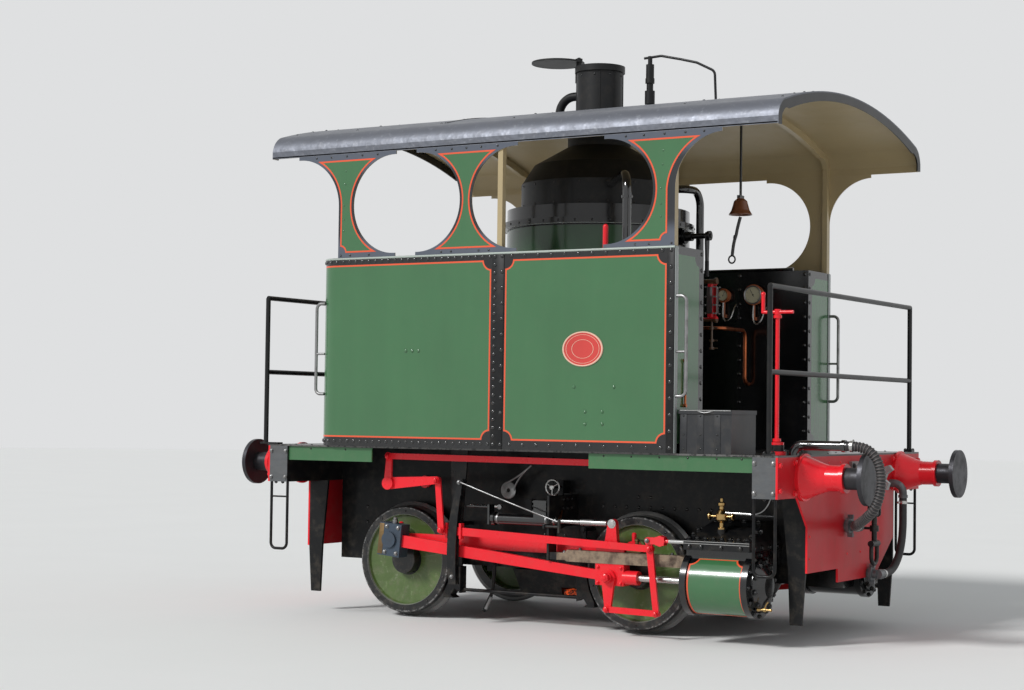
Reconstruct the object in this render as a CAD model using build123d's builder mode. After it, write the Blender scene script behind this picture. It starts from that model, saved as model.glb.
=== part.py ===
"""Four-wheel steam tram locomotive with a vertical boiler between two side tanks.

Millimetres. +X runs along the track towards the cylinder end, -Y is the near side, +Z is up.
The origin is on the centreline, midway between the end beams, at the foot of the wheel flanges.
"""
import os
from math import atan2, cos, degrees, hypot, radians, sin, sqrt, tan

from build123d import *

os.makedirs("parts", exist_ok=True)

# Track and wheels
gauge = 1435
wheelbase = 1864
driving_axle_x = -1098
coupled_axle_x = driving_axle_x + wheelbase
tread_radius = 380
flange_depth = 28
rail_top = flange_depth
axle_z = rail_top + tread_radius
back_to_back = 1360
tyre_width = 135
tyre_thickness = 58
axle_radius = 70
hub_radius = 105
crank_radius = 150
crankpin_radius = 40
near_crank_angle = 90
far_crank_angle = 0
bearing_clearance = 0.05
seat_gap = 0.3

# Body, heights above the rail added to the flange depth
body_half_length = 1967
body_half_width = 1287
deck_top = rail_top + 1190
deck_thickness = 12
valance_depth = 98
valance_gap = (driving_axle_x + 23, 640)
beam_bottom = rail_top + 923
beam_thickness = 170
tank_half_width = 1308
tank_width = 420
tank_left = -1540
tank_right = 1266
tank_top = rail_top + 2503
tank_corner_radius = 150
roof_half_length = body_half_length - 6
roof_eave = rail_top + 3233
roof_rise = 347
roof_sheet = 8
roof_skirt = 50
frame_inner_y = 590
frame_plate = 25

# Boiler
boiler_radius = 660
boiler_top = rail_top + 2890
boiler_band_z = rail_top + 2773
firebox_radius = 520
firebox_bottom = rail_top + 330
chimney_radius = 168
chimney_top = rail_top + 3950

# Motion, all at one distance from the centreline
motion_y = 965
cylinder_z = rail_top + 362
connecting_rod_length = 1760
cylinder_radius = 200
cylinder_left = body_half_length - 717
cylinder_right = body_half_length - 252
rod_plane = 838
rod_thickness = 45


def save(part, name):
    part.label = name
    export_step(part, f"parts/{name}.step")


def side_plane(y):
    """Upright plane along the track at Y = y, extruding towards -Y."""
    return Plane.XZ.offset(-y)


def cross_plane(x):
    """Upright plane across the track at X = x: local x is +Y, local y is +Z, extruding to +X."""
    return Plane(origin=(x, 0, 0), x_dir=(0, 1, 0), z_dir=(1, 0, 0))


def block(x0, x1, y0, y1, z0, z1):
    """Box between two corners, added to the open part."""
    with Locations(((x0 + x1) / 2, (y0 + y1) / 2, (z0 + z1) / 2)):
        Box(abs(x1 - x0), abs(y1 - y0), abs(z1 - z0))


def rod_along(x0, x1, y, z, radius):
    """Round bar along X, added to the open part."""
    with Locations(((x0 + x1) / 2, y, z)):
        Cylinder(radius, abs(x1 - x0), rotation=(0, 90, 0))


def pin_across(x, z, y0, y1, radius):
    """Round bar along Y, added to the open part."""
    with Locations((x, (y0 + y1) / 2, z)):
        Cylinder(radius, abs(y1 - y0), rotation=(90, 0, 0))


def link_outline(start, end, start_depth, end_depth):
    """Tapered bar with round ends between two points of the open sketch."""
    angle = atan2(end[1] - start[1], end[0] - start[0])
    across = (-sin(angle), cos(angle))
    corners = []
    for centre, depth, way in ((start, start_depth, 1), (start, start_depth, -1),
                               (end, end_depth, -1), (end, end_depth, 1)):
        corners.append((centre[0] + across[0] * way * depth / 2, centre[1] + across[1] * way * depth / 2))
    Polygon(*corners, align=None)
    with Locations(start):
        Circle(start_depth / 2)
    with Locations(end):
        Circle(end_depth / 2)


def crank_offset(angle):
    """Crankpin position from its axle, (x, z), for a crank angle in degrees."""
    return crank_radius * cos(radians(angle)), crank_radius * sin(radians(angle))


# Wheelsets: axle, two tyred disc wheels, crank webs and pins in one body
wheel_back = back_to_back / 2
tyre_face = wheel_back + tyre_width
crank_face = rod_plane - 8
pin_end = rod_plane + rod_thickness + 10


def wheelset(x, name):
    flange_radius = tread_radius + flange_depth
    rim_radius = tread_radius - tyre_thickness
    web_y = wheel_back + tyre_width / 2
    profile = [
        (0, 0), (0, axle_radius), (wheel_back - 8, axle_radius), (wheel_back - 8, hub_radius),
        (web_y - 16, hub_radius), (web_y + 4, rim_radius - 20), (wheel_back + 12, rim_radius),
        (wheel_back, rim_radius), (wheel_back, flange_radius - 12), (wheel_back + 10, flange_radius),
        (wheel_back + 20, flange_radius), (wheel_back + 34, tread_radius + 5),
        (tyre_face - 8, tread_radius - 3), (tyre_face, tread_radius - 10), (tyre_face, rim_radius),
        (web_y + 38, rim_radius - 14), (web_y + 18, hub_radius), (crank_face - 4, hub_radius - 8),
        (crank_face - 4, 0),
    ]
    spin_axis = Axis((x, 0, axle_z), (0, 1, 0))
    with BuildPart() as body:
        with BuildSketch(Plane(origin=(x, 0, axle_z), x_dir=(0, 1, 0), z_dir=(1, 0, 0))):
            with BuildLine():
                Polyline(*profile, close=True)
            make_face()
        revolve(axis=spin_axis)
        mirror(about=Plane.XZ)
        for side, angle in ((-1, near_crank_angle), (1, far_crank_angle)):
            dx, dz = crank_offset(angle)
            pin_x, pin_z = x + dx, axle_z + dz
            web_start = side * (web_y + 10)
            with BuildSketch(side_plane(web_start)):
                link_outline((x, axle_z), (pin_x, pin_z), 2 * hub_radius - 20, 150)
            extrude(amount=-side * (crank_face - web_y - 10))
            pin_across(pin_x, pin_z, side * (crank_face - 6), side * pin_end, crankpin_radius)
            pin_across(pin_x, pin_z, side * (crank_face - 6), side * (rod_plane - seat_gap), 56)
            pin_across(pin_x, pin_z, side * (rod_plane + rod_thickness + seat_gap), side * pin_end, 50)
    save(body.part, name)


wheelset(driving_axle_x, "wheelset_driving")
wheelset(coupled_axle_x, "wheelset_coupled")

# Coupling rods, level between the two crankpins of a side
rod_depth = 86
rod_eye_radius = 66


def coupling_rod(side, angle, name):
    dx, dz = crank_offset(angle)
    y0 = side * rod_plane
    left = (driving_axle_x + dx, axle_z + dz)
    right = (coupled_axle_x + dx, axle_z + dz)
    with BuildPart() as body:
        with BuildSketch(side_plane(y0)):
            link_outline(left, right, rod_depth, rod_depth)
            for centre in (left, right):
                with Locations(centre):
                    Circle(rod_eye_radius)
            with Locations(left, right):
                Circle(crankpin_radius + bearing_clearance, mode=Mode.SUBTRACT)
        extrude(amount=-side * rod_thickness)
        for centre in (left, right):
            with Locations((centre[0], y0 + side * rod_thickness / 2, centre[1] + rod_eye_radius + 10)):
                Cylinder(15, 36)
    save(body.part, name)


coupling_rod(-1, near_crank_angle, "coupling_rod_near")
coupling_rod(1, far_crank_angle, "coupling_rod_far")

# Frame plates inside the wheels, with horn gaps and cross stretchers
frame_outer_y = frame_inner_y + frame_plate
frame_half_length = body_half_length - beam_thickness
deck_underside = deck_top - deck_thickness
frame_bottom = rail_top + 352
horn_gap = 230
horn_top = axle_z + 190
stretcher_plate = 20
stretcher_places = (-1520, -790, 1080, 1560)
weighshaft_x = driving_axle_x + 47
weighshaft_z = rail_top + 930
weighshaft_radius = 28

with BuildPart() as frames:
    for side in (-1, 1):
        with BuildSketch(side_plane(side * frame_inner_y)):
            with Locations((0, (frame_bottom + deck_underside) / 2)):
                Rectangle(2 * frame_half_length, deck_underside - frame_bottom)
            for axle_x in (driving_axle_x, coupled_axle_x):
                with Locations((axle_x, axle_z - 60)):
                    Rectangle(horn_gap + 120, 240)
            for axle_x in (driving_axle_x, coupled_axle_x):
                with Locations((axle_x, horn_top / 2)):
                    Rectangle(horn_gap, horn_top, mode=Mode.SUBTRACT)
            with Locations((weighshaft_x, weighshaft_z)):
                Circle(weighshaft_radius + bearing_clearance, mode=Mode.SUBTRACT)
        extrude(amount=-side * frame_plate)
    for place in stretcher_places:
        block(place, place + stretcher_plate, -frame_inner_y, frame_inner_y, rail_top + 620, deck_underside)
save(frames.part, "frames")

# Axleboxes in the horn gaps, with leaf springs standing on them
box_outer_y = wheel_back - 20
box_half_height = 120
with BuildPart() as axleboxes:
    for axle_x in (driving_axle_x, coupled_axle_x):
        for side in (-1, 1):
            half_gap = horn_gap / 2 - seat_gap
            block(axle_x - half_gap, axle_x + half_gap, side * (frame_inner_y - 25), side * box_outer_y,
                  axle_z - box_half_height, axle_z + box_half_height)
            block(axle_x - 22, axle_x + 22, side * frame_inner_y, side * frame_outer_y,
                  axle_z + box_half_height, horn_top - seat_gap)
    for axle_x in (driving_axle_x, coupled_axle_x):
        with Locations((axle_x, 0, axle_z)):
            Cylinder(axle_radius + bearing_clearance, 3 * gauge, rotation=(90, 0, 0), mode=Mode.SUBTRACT)
save(axleboxes.part, "axleboxes")

# Footplate with a boiler opening and a valance under each edge
footplate_hole = firebox_radius + 2
with BuildPart() as footplate:
    block(-body_half_length, body_half_length, -body_half_width, body_half_width, deck_underside, deck_top)
    with Locations((0, 0, deck_top)):
        Cylinder(footplate_hole, 4 * deck_thickness, mode=Mode.SUBTRACT)
    for side, left, right in ((-1, -frame_half_length, valance_gap[0]), (-1, valance_gap[1], frame_half_length),
                              (1, -frame_half_length, frame_half_length)):
        block(left, right, side * (body_half_width - 28), side * (body_half_width - 16),
              deck_underside - valance_depth, deck_underside)
save(footplate.part, "footplate")

# End beams behind their red face plates
face_plate = 14
beam_outer_x = body_half_length - face_plate
with BuildPart() as beams:
    for end in (-1, 1):
        block(end * frame_half_length, end * beam_outer_x, -body_half_width, body_half_width,
              beam_bottom, deck_underside)
save(beams.part, "end_beams")

apron_half_width = 805
apron_bottom = rail_top + 442
apron_step_y = -282
apron_low = rail_top + 352
apron_slope_y = 400
apron_slope_z = rail_top + 600
with BuildPart() as face_plates:
    with BuildSketch(cross_plane(beam_outer_x)):
        with BuildLine():
            Polyline(
                (-body_half_width, deck_underside), (-body_half_width, beam_bottom),
                (-apron_half_width - 170, beam_bottom), (-apron_half_width, beam_bottom - 190),
                (-apron_half_width, apron_bottom), (apron_step_y, apron_bottom),
                (apron_step_y, apron_low), (apron_slope_y, apron_low),
                (apron_half_width - 50, apron_slope_z), (apron_half_width - 50, beam_bottom),
                (body_half_width, beam_bottom), (body_half_width, deck_underside), close=True)
        make_face()
    extrude(amount=face_plate)
    with BuildSketch(cross_plane(-body_half_length)):
        with Locations((0, (beam_bottom + deck_underside) / 2)):
            Rectangle(2 * body_half_width, deck_underside - beam_bottom)
        with Locations((0, (beam_bottom + apron_bottom) / 2)):
            Rectangle(2 * apron_half_width, beam_bottom - apron_bottom)
    extrude(amount=face_plate)
save(face_plates.part, "face_plates")

# Buffers: flared casings on the face plates, stems with flat heads in them
buffer_y = 875
buffer_z = rail_top + 1050
buffer_length = 441
buffer_reach = body_half_length + buffer_length
buffer_head_radius = 166
buffer_head_thickness = 30
casing_length = 288
stem_radius = 69
casing_profile = (
    (0, 150), (18, 150), (18, 138), (120, 98), (170, 82), (casing_length - 26, 80),
    (casing_length - 26, 92), (casing_length, 92),
)
with BuildPart() as buffer_casings:
    for end in (-1, 1):
        for side in (-1, 1):
            seat = Plane(origin=(end * body_half_length, side * buffer_y, buffer_z),
                         x_dir=(end, 0, 0), z_dir=(0, end, 0))
            with BuildSketch(seat):
                with BuildLine():
                    Polyline((0, stem_radius + seat_gap), *casing_profile,
                             (casing_profile[-1][0], stem_radius + seat_gap), close=True)
                make_face()
            revolve(axis=Axis((0, side * buffer_y, buffer_z), (1, 0, 0)))
save(buffer_casings.part, "buffer_casings")

with BuildPart() as buffers:
    for end in (-1, 1):
        for side in (-1, 1):
            rod_along(end * body_half_length, end * (buffer_reach - buffer_head_thickness), side * buffer_y,
                      buffer_z, stem_radius)
            rod_along(end * (buffer_reach - buffer_head_thickness), end * buffer_reach, side * buffer_y,
                      buffer_z, buffer_head_radius)
save(buffers.part, "buffers")

# Draw hooks, one at the middle of each face plate
hook_thickness = 40
coupling_out = 143
coupling_pin_z = buffer_z - 2
coupling_half = 66
coupling_pin = 16
# Distance out from the face plate and height from the buffer line
hook_outline = (
    (0, 32), (153, 38), (248, 70), (273, 40), (233, 12), (218, -25),
    (248, -50), (233, -95), (173, -95), (128, -45), (0, -32),
)
with BuildPart() as draw_hooks:
    for end in (-1, 1):
        with BuildSketch(side_plane(hook_thickness / 2)):
            with BuildLine():
                Polyline(*((end * (body_half_length + out), buffer_z + up) for out, up in hook_outline),
                         close=True)
            make_face()
        extrude(amount=hook_thickness)
        block(end * body_half_length, end * (body_half_length + 20), -90, 90, buffer_z - 90, buffer_z + 90)
        pin_across(end * (body_half_length + coupling_out), coupling_pin_z, -coupling_half, coupling_half, coupling_pin)
save(draw_hooks.part, "draw_hooks")

# Side tanks stand on the footplate; the rear vertical corner is rounded
tank_inner_y = tank_half_width - tank_width
for side, side_name in ((-1, "near"), (1, "far")):
    with BuildPart() as tank:
        block(tank_left, tank_right, side * tank_inner_y, side * tank_half_width, deck_top, tank_top)
        rear_corner = tank.edges().filter_by(Axis.Z).group_by(Axis.X)[0].sort_by(Axis.Y)
        fillet(rear_corner[0 if side < 0 else -1], tank_corner_radius)
    save(tank.part, f"tank_{side_name}")

# Window plates between tank and roof: round-ended openings leave waisted panels
window_plate = 8
window_waists = ((-1364, -1238), (-355, -260), (1106, 1260))
window_outer_tips = (-1719, 1585)
window_mid_z = (tank_top + roof_eave) / 2
window_half_height = (roof_eave - tank_top) / 2 - seat_gap
window_arc = 342
window_tip = 15


def window_opening(left, right):
    """Opening with half-round ends between two waists, open to roof and tank between the plates' tips."""
    with Locations(((left + right) / 2, window_mid_z)):
        SlotOverall(right - left, 2 * window_arc, mode=Mode.SUBTRACT)
        Rectangle(right - left - 2 * (window_arc + window_tip), 3 * window_arc, mode=Mode.SUBTRACT)


for side, side_name in ((-1, "near"), (1, "far")):
    with BuildPart() as plates:
        with BuildSketch(side_plane(side * (tank_half_width - window_plate))):
            with Locations(((window_outer_tips[0] + window_outer_tips[1]) / 2, window_mid_z)):
                Rectangle(window_outer_tips[1] - window_outer_tips[0], 2 * window_half_height)
            window_opening(window_waists[0][1], window_waists[1][0])
            window_opening(window_waists[1][1], window_waists[2][0])
            for waist, way in ((window_waists[0][0], -1), (window_waists[2][1], 1)):
                with Locations((waist + way * window_arc, window_mid_z)):
                    Circle(window_arc, mode=Mode.SUBTRACT)
                with Locations((waist + way * window_arc, window_mid_z - window_arc)):
                    Rectangle(2 * window_arc, 2 * window_arc, mode=Mode.SUBTRACT)
                with Locations((waist + way * 1.5 * window_arc, window_mid_z)):
                    Rectangle(window_arc, 2 * window_arc, mode=Mode.SUBTRACT)
        extrude(amount=-side * window_plate)
    save(plates.part, f"window_plates_{side_name}")

# Roof: shallow arc with round shoulders and short skirts
roof_crown = roof_eave + roof_rise
chimney_hole = chimney_radius + 2
whistle_x = 407
whistle_pipe = 26


def roof_outline(inset):
    """Closed outline under the roof surface, drawn inset from it: local x is +Y, local y is +Z."""
    half = tank_half_width - inset
    crown = roof_crown - inset
    shoulder_z = roof_eave + 176 - inset
    shoulder_y = half - 118
    knuckle = (half - 38, roof_eave + 130 - inset / 2)
    skirt_top = roof_eave + roof_skirt
    with BuildSketch() as outline:
        with BuildLine():
            Polyline((-half, skirt_top), (-half, roof_eave), (half, roof_eave), (half, skirt_top))
            ThreePointArc((half, skirt_top), knuckle, (shoulder_y, shoulder_z))
            ThreePointArc((shoulder_y, shoulder_z), (0, crown), (-shoulder_y, shoulder_z))
            ThreePointArc((-shoulder_y, shoulder_z), (-knuckle[0], knuckle[1]), (-half, skirt_top))
        make_face()
    return outline.sketch


def roof_ring(outer_inset, inner_inset):
    """Section between two insets of the roof outline."""
    with BuildSketch() as ring:
        add(roof_outline(outer_inset))
        add(roof_outline(inner_inset), mode=Mode.SUBTRACT)
    return ring.sketch


with BuildPart() as roof:
    with BuildSketch(cross_plane(-roof_half_length)):
        add(roof_ring(0, roof_sheet))
    extrude(amount=2 * roof_half_length)
    with Locations((0, 0, roof_crown)):
        Cylinder(chimney_hole, 400, mode=Mode.SUBTRACT)
    with Locations((whistle_x, 0, roof_crown)):
        Cylinder(whistle_pipe + seat_gap, 400, mode=Mode.SUBTRACT)
save(roof.part, "roof")

rim_depth = 52
rim_plate = 10
with BuildPart() as rims:
    for rim_x in (-roof_half_length, roof_half_length - rim_plate):
        with BuildSketch(cross_plane(rim_x)):
            add(roof_ring(roof_sheet + seat_gap, roof_sheet + rim_depth))
        extrude(amount=rim_plate)
save(rims.part, "roof_end_rims")

# Hoops under the roof, each with two posts down to the tanks
hoop_places = (-1362, -60, 1222)
hoop_width = 38
hoop_depth = 45
post_inner = tank_half_width - window_plate - hoop_depth
with BuildPart() as hoops:
    for place in hoop_places:
        with BuildSketch(cross_plane(place)):
            add(roof_ring(roof_sheet + seat_gap, roof_sheet + hoop_depth))
        extrude(amount=hoop_width)
        for side in (-1, 1):
            block(place, place + hoop_width, side * post_inner, side * (tank_half_width - window_plate),
                  tank_top, roof_eave)
    with Locations((0, 0, roof_crown)):
        Cylinder(chimney_hole, 400, mode=Mode.SUBTRACT)
save(hoops.part, "roof_hoops")

# Boiler standing on the footplate, firebox down between the frames, firehole on the cab side
# Pads for fittings on the cab side: y, height, pad radius, face x
boiler_pads = (
    (0, rail_top + 2692, 58, boiler_radius + 30),
    (300, rail_top + 2395, 26, boiler_radius - 12),
    (300, rail_top + 2120, 26, boiler_radius - 12),
    (236, rail_top + 1692, 42, boiler_radius - 16),
    (408, rail_top + 2064, 30, boiler_radius - 110),
)
firehole_face = boiler_radius + 45
firehole_half_width = 190
firehole_low = deck_top + 150
firehole_high = deck_top + 420
firehole_depth = 260
door_plate = 14
door_pin_x = firehole_face + 20
door_pin_y = firehole_half_width + 8
with BuildPart() as boiler:
    with BuildSketch(Plane.XZ):
        with BuildLine():
            Polyline((0, firebox_bottom), (firebox_radius, firebox_bottom), (firebox_radius, deck_top),
                     (boiler_radius, deck_top), (boiler_radius, boiler_band_z - 22),
                     (boiler_radius + 34, boiler_band_z - 22), (boiler_radius + 34, boiler_band_z + 22),
                     (boiler_radius, boiler_band_z + 22), (boiler_radius, boiler_top),
                     (0, boiler_top), close=True)
        make_face()
    revolve(axis=Axis.Z)
    for pad_y, pad_z, pad_radius, face_x in boiler_pads:
        rod_along(boiler_radius - 240, face_x, pad_y, pad_z, pad_radius)
    block(boiler_radius - 80, firehole_face, -firehole_half_width - 30, firehole_half_width + 30,
          firehole_low - 30, firehole_high + 30)
    with BuildSketch(Plane(origin=(firehole_face, 0, 0), x_dir=(0, 1, 0), z_dir=(1, 0, 0))):
        with Locations((0, (firehole_low + firehole_high) / 2)):
            RectangleRounded(2 * firehole_half_width - 60, firehole_high - firehole_low - 60, 60)
    extrude(amount=-firehole_depth, mode=Mode.SUBTRACT)
    for height in (firehole_low + 40, firehole_high - 40):
        for lug_z in (height - 26, height + 26):
            with BuildSketch(Plane.XY.offset(lug_z - 6)):
                with Locations((door_pin_x, door_pin_y)):
                    Circle(14)
                with Locations((door_pin_x / 2 + firehole_face / 2 - 5, door_pin_y)):
                    Rectangle(door_pin_x - firehole_face + 10, 28)
            extrude(amount=12)
        with Locations((door_pin_x, door_pin_y, height)):
            Cylinder(7, 60)
save(boiler.part, "boiler")

with BuildPart() as door:
    with BuildSketch(Plane(origin=(firehole_face + seat_gap, 0, 0), x_dir=(0, 1, 0), z_dir=(1, 0, 0))):
        with Locations((-6, (firehole_low + firehole_high) / 2)):
            RectangleRounded(2 * firehole_half_width - 12, firehole_high - firehole_low, 70)
    extrude(amount=door_plate)
    for height in (firehole_low + 40, firehole_high - 40):
        block(firehole_face + 14, firehole_face + 22, 40, door_pin_y, height - 18, height + 18)
        with Locations((door_pin_x, door_pin_y, height)):
            Cylinder(13, 38)
            Cylinder(7 + bearing_clearance, 80, mode=Mode.SUBTRACT)
    with Locations((firehole_face + door_plate + 22, -120, (firehole_low + firehole_high) / 2)):
        Cylinder(9, 90)
    for grip_z in (-36, 36):
        block(firehole_face + door_plate, firehole_face + door_plate + 22, -127, -113,
              (firehole_low + firehole_high) / 2 + grip_z - 7, (firehole_low + firehole_high) / 2 + grip_z + 7)
save(door.part, "firehole_door")

smokebox_radius = 560
chimney_base = roof_crown - 130
with BuildPart() as smokebox:
    with BuildSketch(Plane.XZ):
        with BuildLine():
            Polyline((0, boiler_top), (smokebox_radius, boiler_top), (smokebox_radius, boiler_top + 190),
                     (smokebox_radius - 90, boiler_top + 330), (chimney_radius + 60, chimney_base - 90),
                     (chimney_radius + 60, chimney_base), (0, chimney_base), close=True)
        make_face()
    revolve(axis=Axis.Z)
save(smokebox.part, "smokebox")

# Chimney with its open top, hinge post and swung-open lid
chimney_rim = chimney_radius + 14
chimney_wall = 20
lid_pin_x = -chimney_rim + 6
lid_pin_radius = 12
lid_boss_radius = 26
lid_radius = 195
lid_x = 2 * lid_pin_x
lid_under = chimney_top + 52
lid_thickness = 12
lid_boss_height = 26
with BuildPart() as chimney:
    with BuildSketch(Plane.XZ):
        with BuildLine():
            Polyline((0, chimney_base), (chimney_radius + 40, chimney_base),
                     (chimney_radius + 40, chimney_base + 20), (chimney_radius, chimney_base + 20),
                     (chimney_radius, chimney_top - 45), (chimney_rim, chimney_top - 45),
                     (chimney_rim, chimney_top), (chimney_radius - chimney_wall, chimney_top),
                     (chimney_radius - chimney_wall, chimney_base + 60), (0, chimney_base + 60), close=True)
        make_face()
    revolve(axis=Axis.Z)
    with Locations((lid_pin_x, 0, chimney_top - 50)):
        Cylinder(lid_boss_radius, 100)
    with Locations((lid_pin_x, 0, (chimney_top + lid_under - seat_gap) / 2)):
        Cylinder(lid_boss_radius - 6, lid_under - seat_gap - chimney_top)
    with Locations((lid_pin_x, 0, (chimney_top + lid_under + lid_boss_height + 8) / 2)):
        Cylinder(lid_pin_radius, lid_under + lid_boss_height + 8 - chimney_top)
save(chimney.part, "chimney")

with BuildPart() as lid:
    with Locations((lid_x, 0, lid_under + lid_thickness / 2)):
        Cylinder(lid_radius, lid_thickness)
    with Locations((lid_pin_x, 0, lid_under + lid_boss_height / 2)):
        Cylinder(lid_boss_radius, lid_boss_height)
    with Locations((lid_pin_x, 0, lid_under)):
        Cylinder(lid_pin_radius + bearing_clearance, 200, mode=Mode.SUBTRACT)
save(lid.part, "chimney_lid")

# Exhaust elbow into the chimney's side, from the roof
with BuildPart() as elbow:
    elbow_z = rail_top + 3752
    elbow_x = -chimney_radius - 165
    with BuildLine() as elbow_path:
        FilletPolyline((elbow_x, 0, roof_crown - 30), (elbow_x, 0, elbow_z), (-chimney_radius - 2, 0, elbow_z),
                       radius=120)
    with BuildSketch(Plane(origin=(elbow_x, 0, roof_crown - 30), z_dir=(0, 0, 1))):
        Circle(32)
    sweep(path=elbow_path.wires()[0])
    split(bisect_by=Plane.XY.offset(roof_crown + seat_gap), keep=Keep.TOP)
save(elbow.part, "exhaust_elbow")

# Whistle on its pipe through the roof
# Low and high end above the roof crown, radius
whistle_sections = (
    (-200, 72, whistle_pipe), (72, 167, 36), (167, 222, 24), (222, 257, 33), (257, 357, 29), (357, 417, 16),
)
whistle_lever_radius = 9
# Offsets from the whistle along the roof and above its crown
whistle_lever = ((-46, 406), (88, 413), (242, 376), (368, 342), (509, 270), (519, 60))
with BuildPart() as whistle:
    for low, high, radius in whistle_sections:
        with Locations((whistle_x, 0, roof_crown + (low + high) / 2)):
            Cylinder(radius, high - low)
    lever_points = [(whistle_x + along, 0, roof_crown + up) for along, up in whistle_lever]
    with BuildLine() as lever_path:
        FilletPolyline(*lever_points, radius=50)
    with BuildSketch(Plane(origin=lever_points[0], z_dir=(134, 0, 7))):
        Circle(whistle_lever_radius)
    sweep(path=lever_path.wires()[0])
    with Locations((lever_points[-1][0], 0, roof_crown + seat_gap + 32)):
        Cylinder(22, 64)
save(whistle.part, "whistle")

# Cylinders outside the frames: clad barrel, flanges, domed cover, stuffing box and mounting blocks
cylinder_flange = cylinder_radius + 14
cylinder_flange_width = 42
cover_radius = 172
cover_rim = 22
cover_bulge = 66
cover_crown = 74
stuffing_radius = 45
gland_plate = 14
gland_x = cylinder_left - 60
both_sides = (-1, 1)
chest_left = cylinder_left + 7
chest_right = cylinder_right - 2
chest_bottom = cylinder_z + cylinder_flange + 2
chest_outer = motion_y + 165
saddle_outer = motion_y + 120
with BuildPart() as cylinders:
    for side in both_sides:
        y = side * motion_y
        rod_along(cylinder_left, cylinder_right, y, cylinder_z, cylinder_radius)
        for flange_x in (cylinder_left, cylinder_right - cylinder_flange_width):
            rod_along(flange_x, flange_x + cylinder_flange_width, y, cylinder_z, cylinder_flange)
        rod_along(gland_x + gland_plate, cylinder_left, y, cylinder_z, stuffing_radius)
        rod_along(cylinder_right, cylinder_right + cover_rim, y, cylinder_z, cover_radius)
        with Locations((cylinder_right + (cover_rim + cover_bulge) / 2, y, cylinder_z)):
            Cone(cover_radius - 8, cover_crown, cover_bulge - cover_rim, rotation=(0, 90, 0))
        block(cylinder_left + 60, cylinder_right - 60, side * frame_outer_y, side * (motion_y - 40),
              cylinder_z - 130, cylinder_z + 150)
        block(chest_left + 1, chest_right - 1, side * frame_outer_y, side * saddle_outer,
              cylinder_z + 120, chest_bottom)
save(cylinders.part, "cylinders")

# Steam chests on the cylinders: upright rim, cover sloping up towards the frames and hipped at its ends
chest_side = 60
chest_rise = 120
chest_flat = 165
chest_hip = 58
oiler_x = chest_left + 198
oiler_y = motion_y + 20
oiler_seat = chest_bottom + chest_side + 70
oiler_boss = 28
with BuildPart() as chests:
    for side in both_sides:
        block(chest_left, chest_right, side * frame_outer_y, side * chest_outer,
              chest_bottom, chest_bottom + chest_side)
        with BuildSketch(Plane.XY.offset(chest_bottom + chest_side)):
            with Locations(((chest_left + chest_right) / 2, side * (frame_outer_y + chest_outer) / 2)):
                Rectangle(chest_right - chest_left, chest_outer - frame_outer_y)
        with BuildSketch(Plane.XY.offset(chest_bottom + chest_side + chest_rise)):
            with Locations(((chest_left + chest_right) / 2, side * (frame_outer_y + chest_flat / 2))):
                Rectangle(chest_right - chest_left - 2 * chest_hip, chest_flat)
        loft()
        with Locations((oiler_x, side * oiler_y, (chest_bottom + chest_side + oiler_seat) / 2)):
            Cylinder(oiler_boss, oiler_seat - chest_bottom - chest_side)
save(chests.part, "steam_chests")

# Slide bars, deeper between their ends, carried by the cylinder's rear cover and the motion bracket
bar_low = rail_top + 448
bar_high = rail_top + 526
bar_end_low = bar_low + 8
bar_end_high = bar_high - 22
bar_left = 255
bar_inner = motion_y - 25
bar_outer = motion_y + 35
with BuildPart() as slide_bars:
    for side in both_sides:
        with BuildSketch(side_plane(side * bar_inner)):
            with BuildLine():
                Polyline((bar_left, bar_end_low), (bar_left + 62, bar_end_low), (bar_left + 80, bar_low),
                         (cylinder_left - 90, bar_low), (cylinder_left, bar_end_low),
                         (cylinder_left, bar_end_high), (cylinder_left - 90, bar_high),
                         (bar_left + 80, bar_high), (bar_left + 62, bar_end_high), (bar_left, bar_end_high),
                         close=True)
            make_face()
        extrude(amount=-side * (bar_outer - bar_inner))
save(slide_bars.part, "slide_bars")

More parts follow.
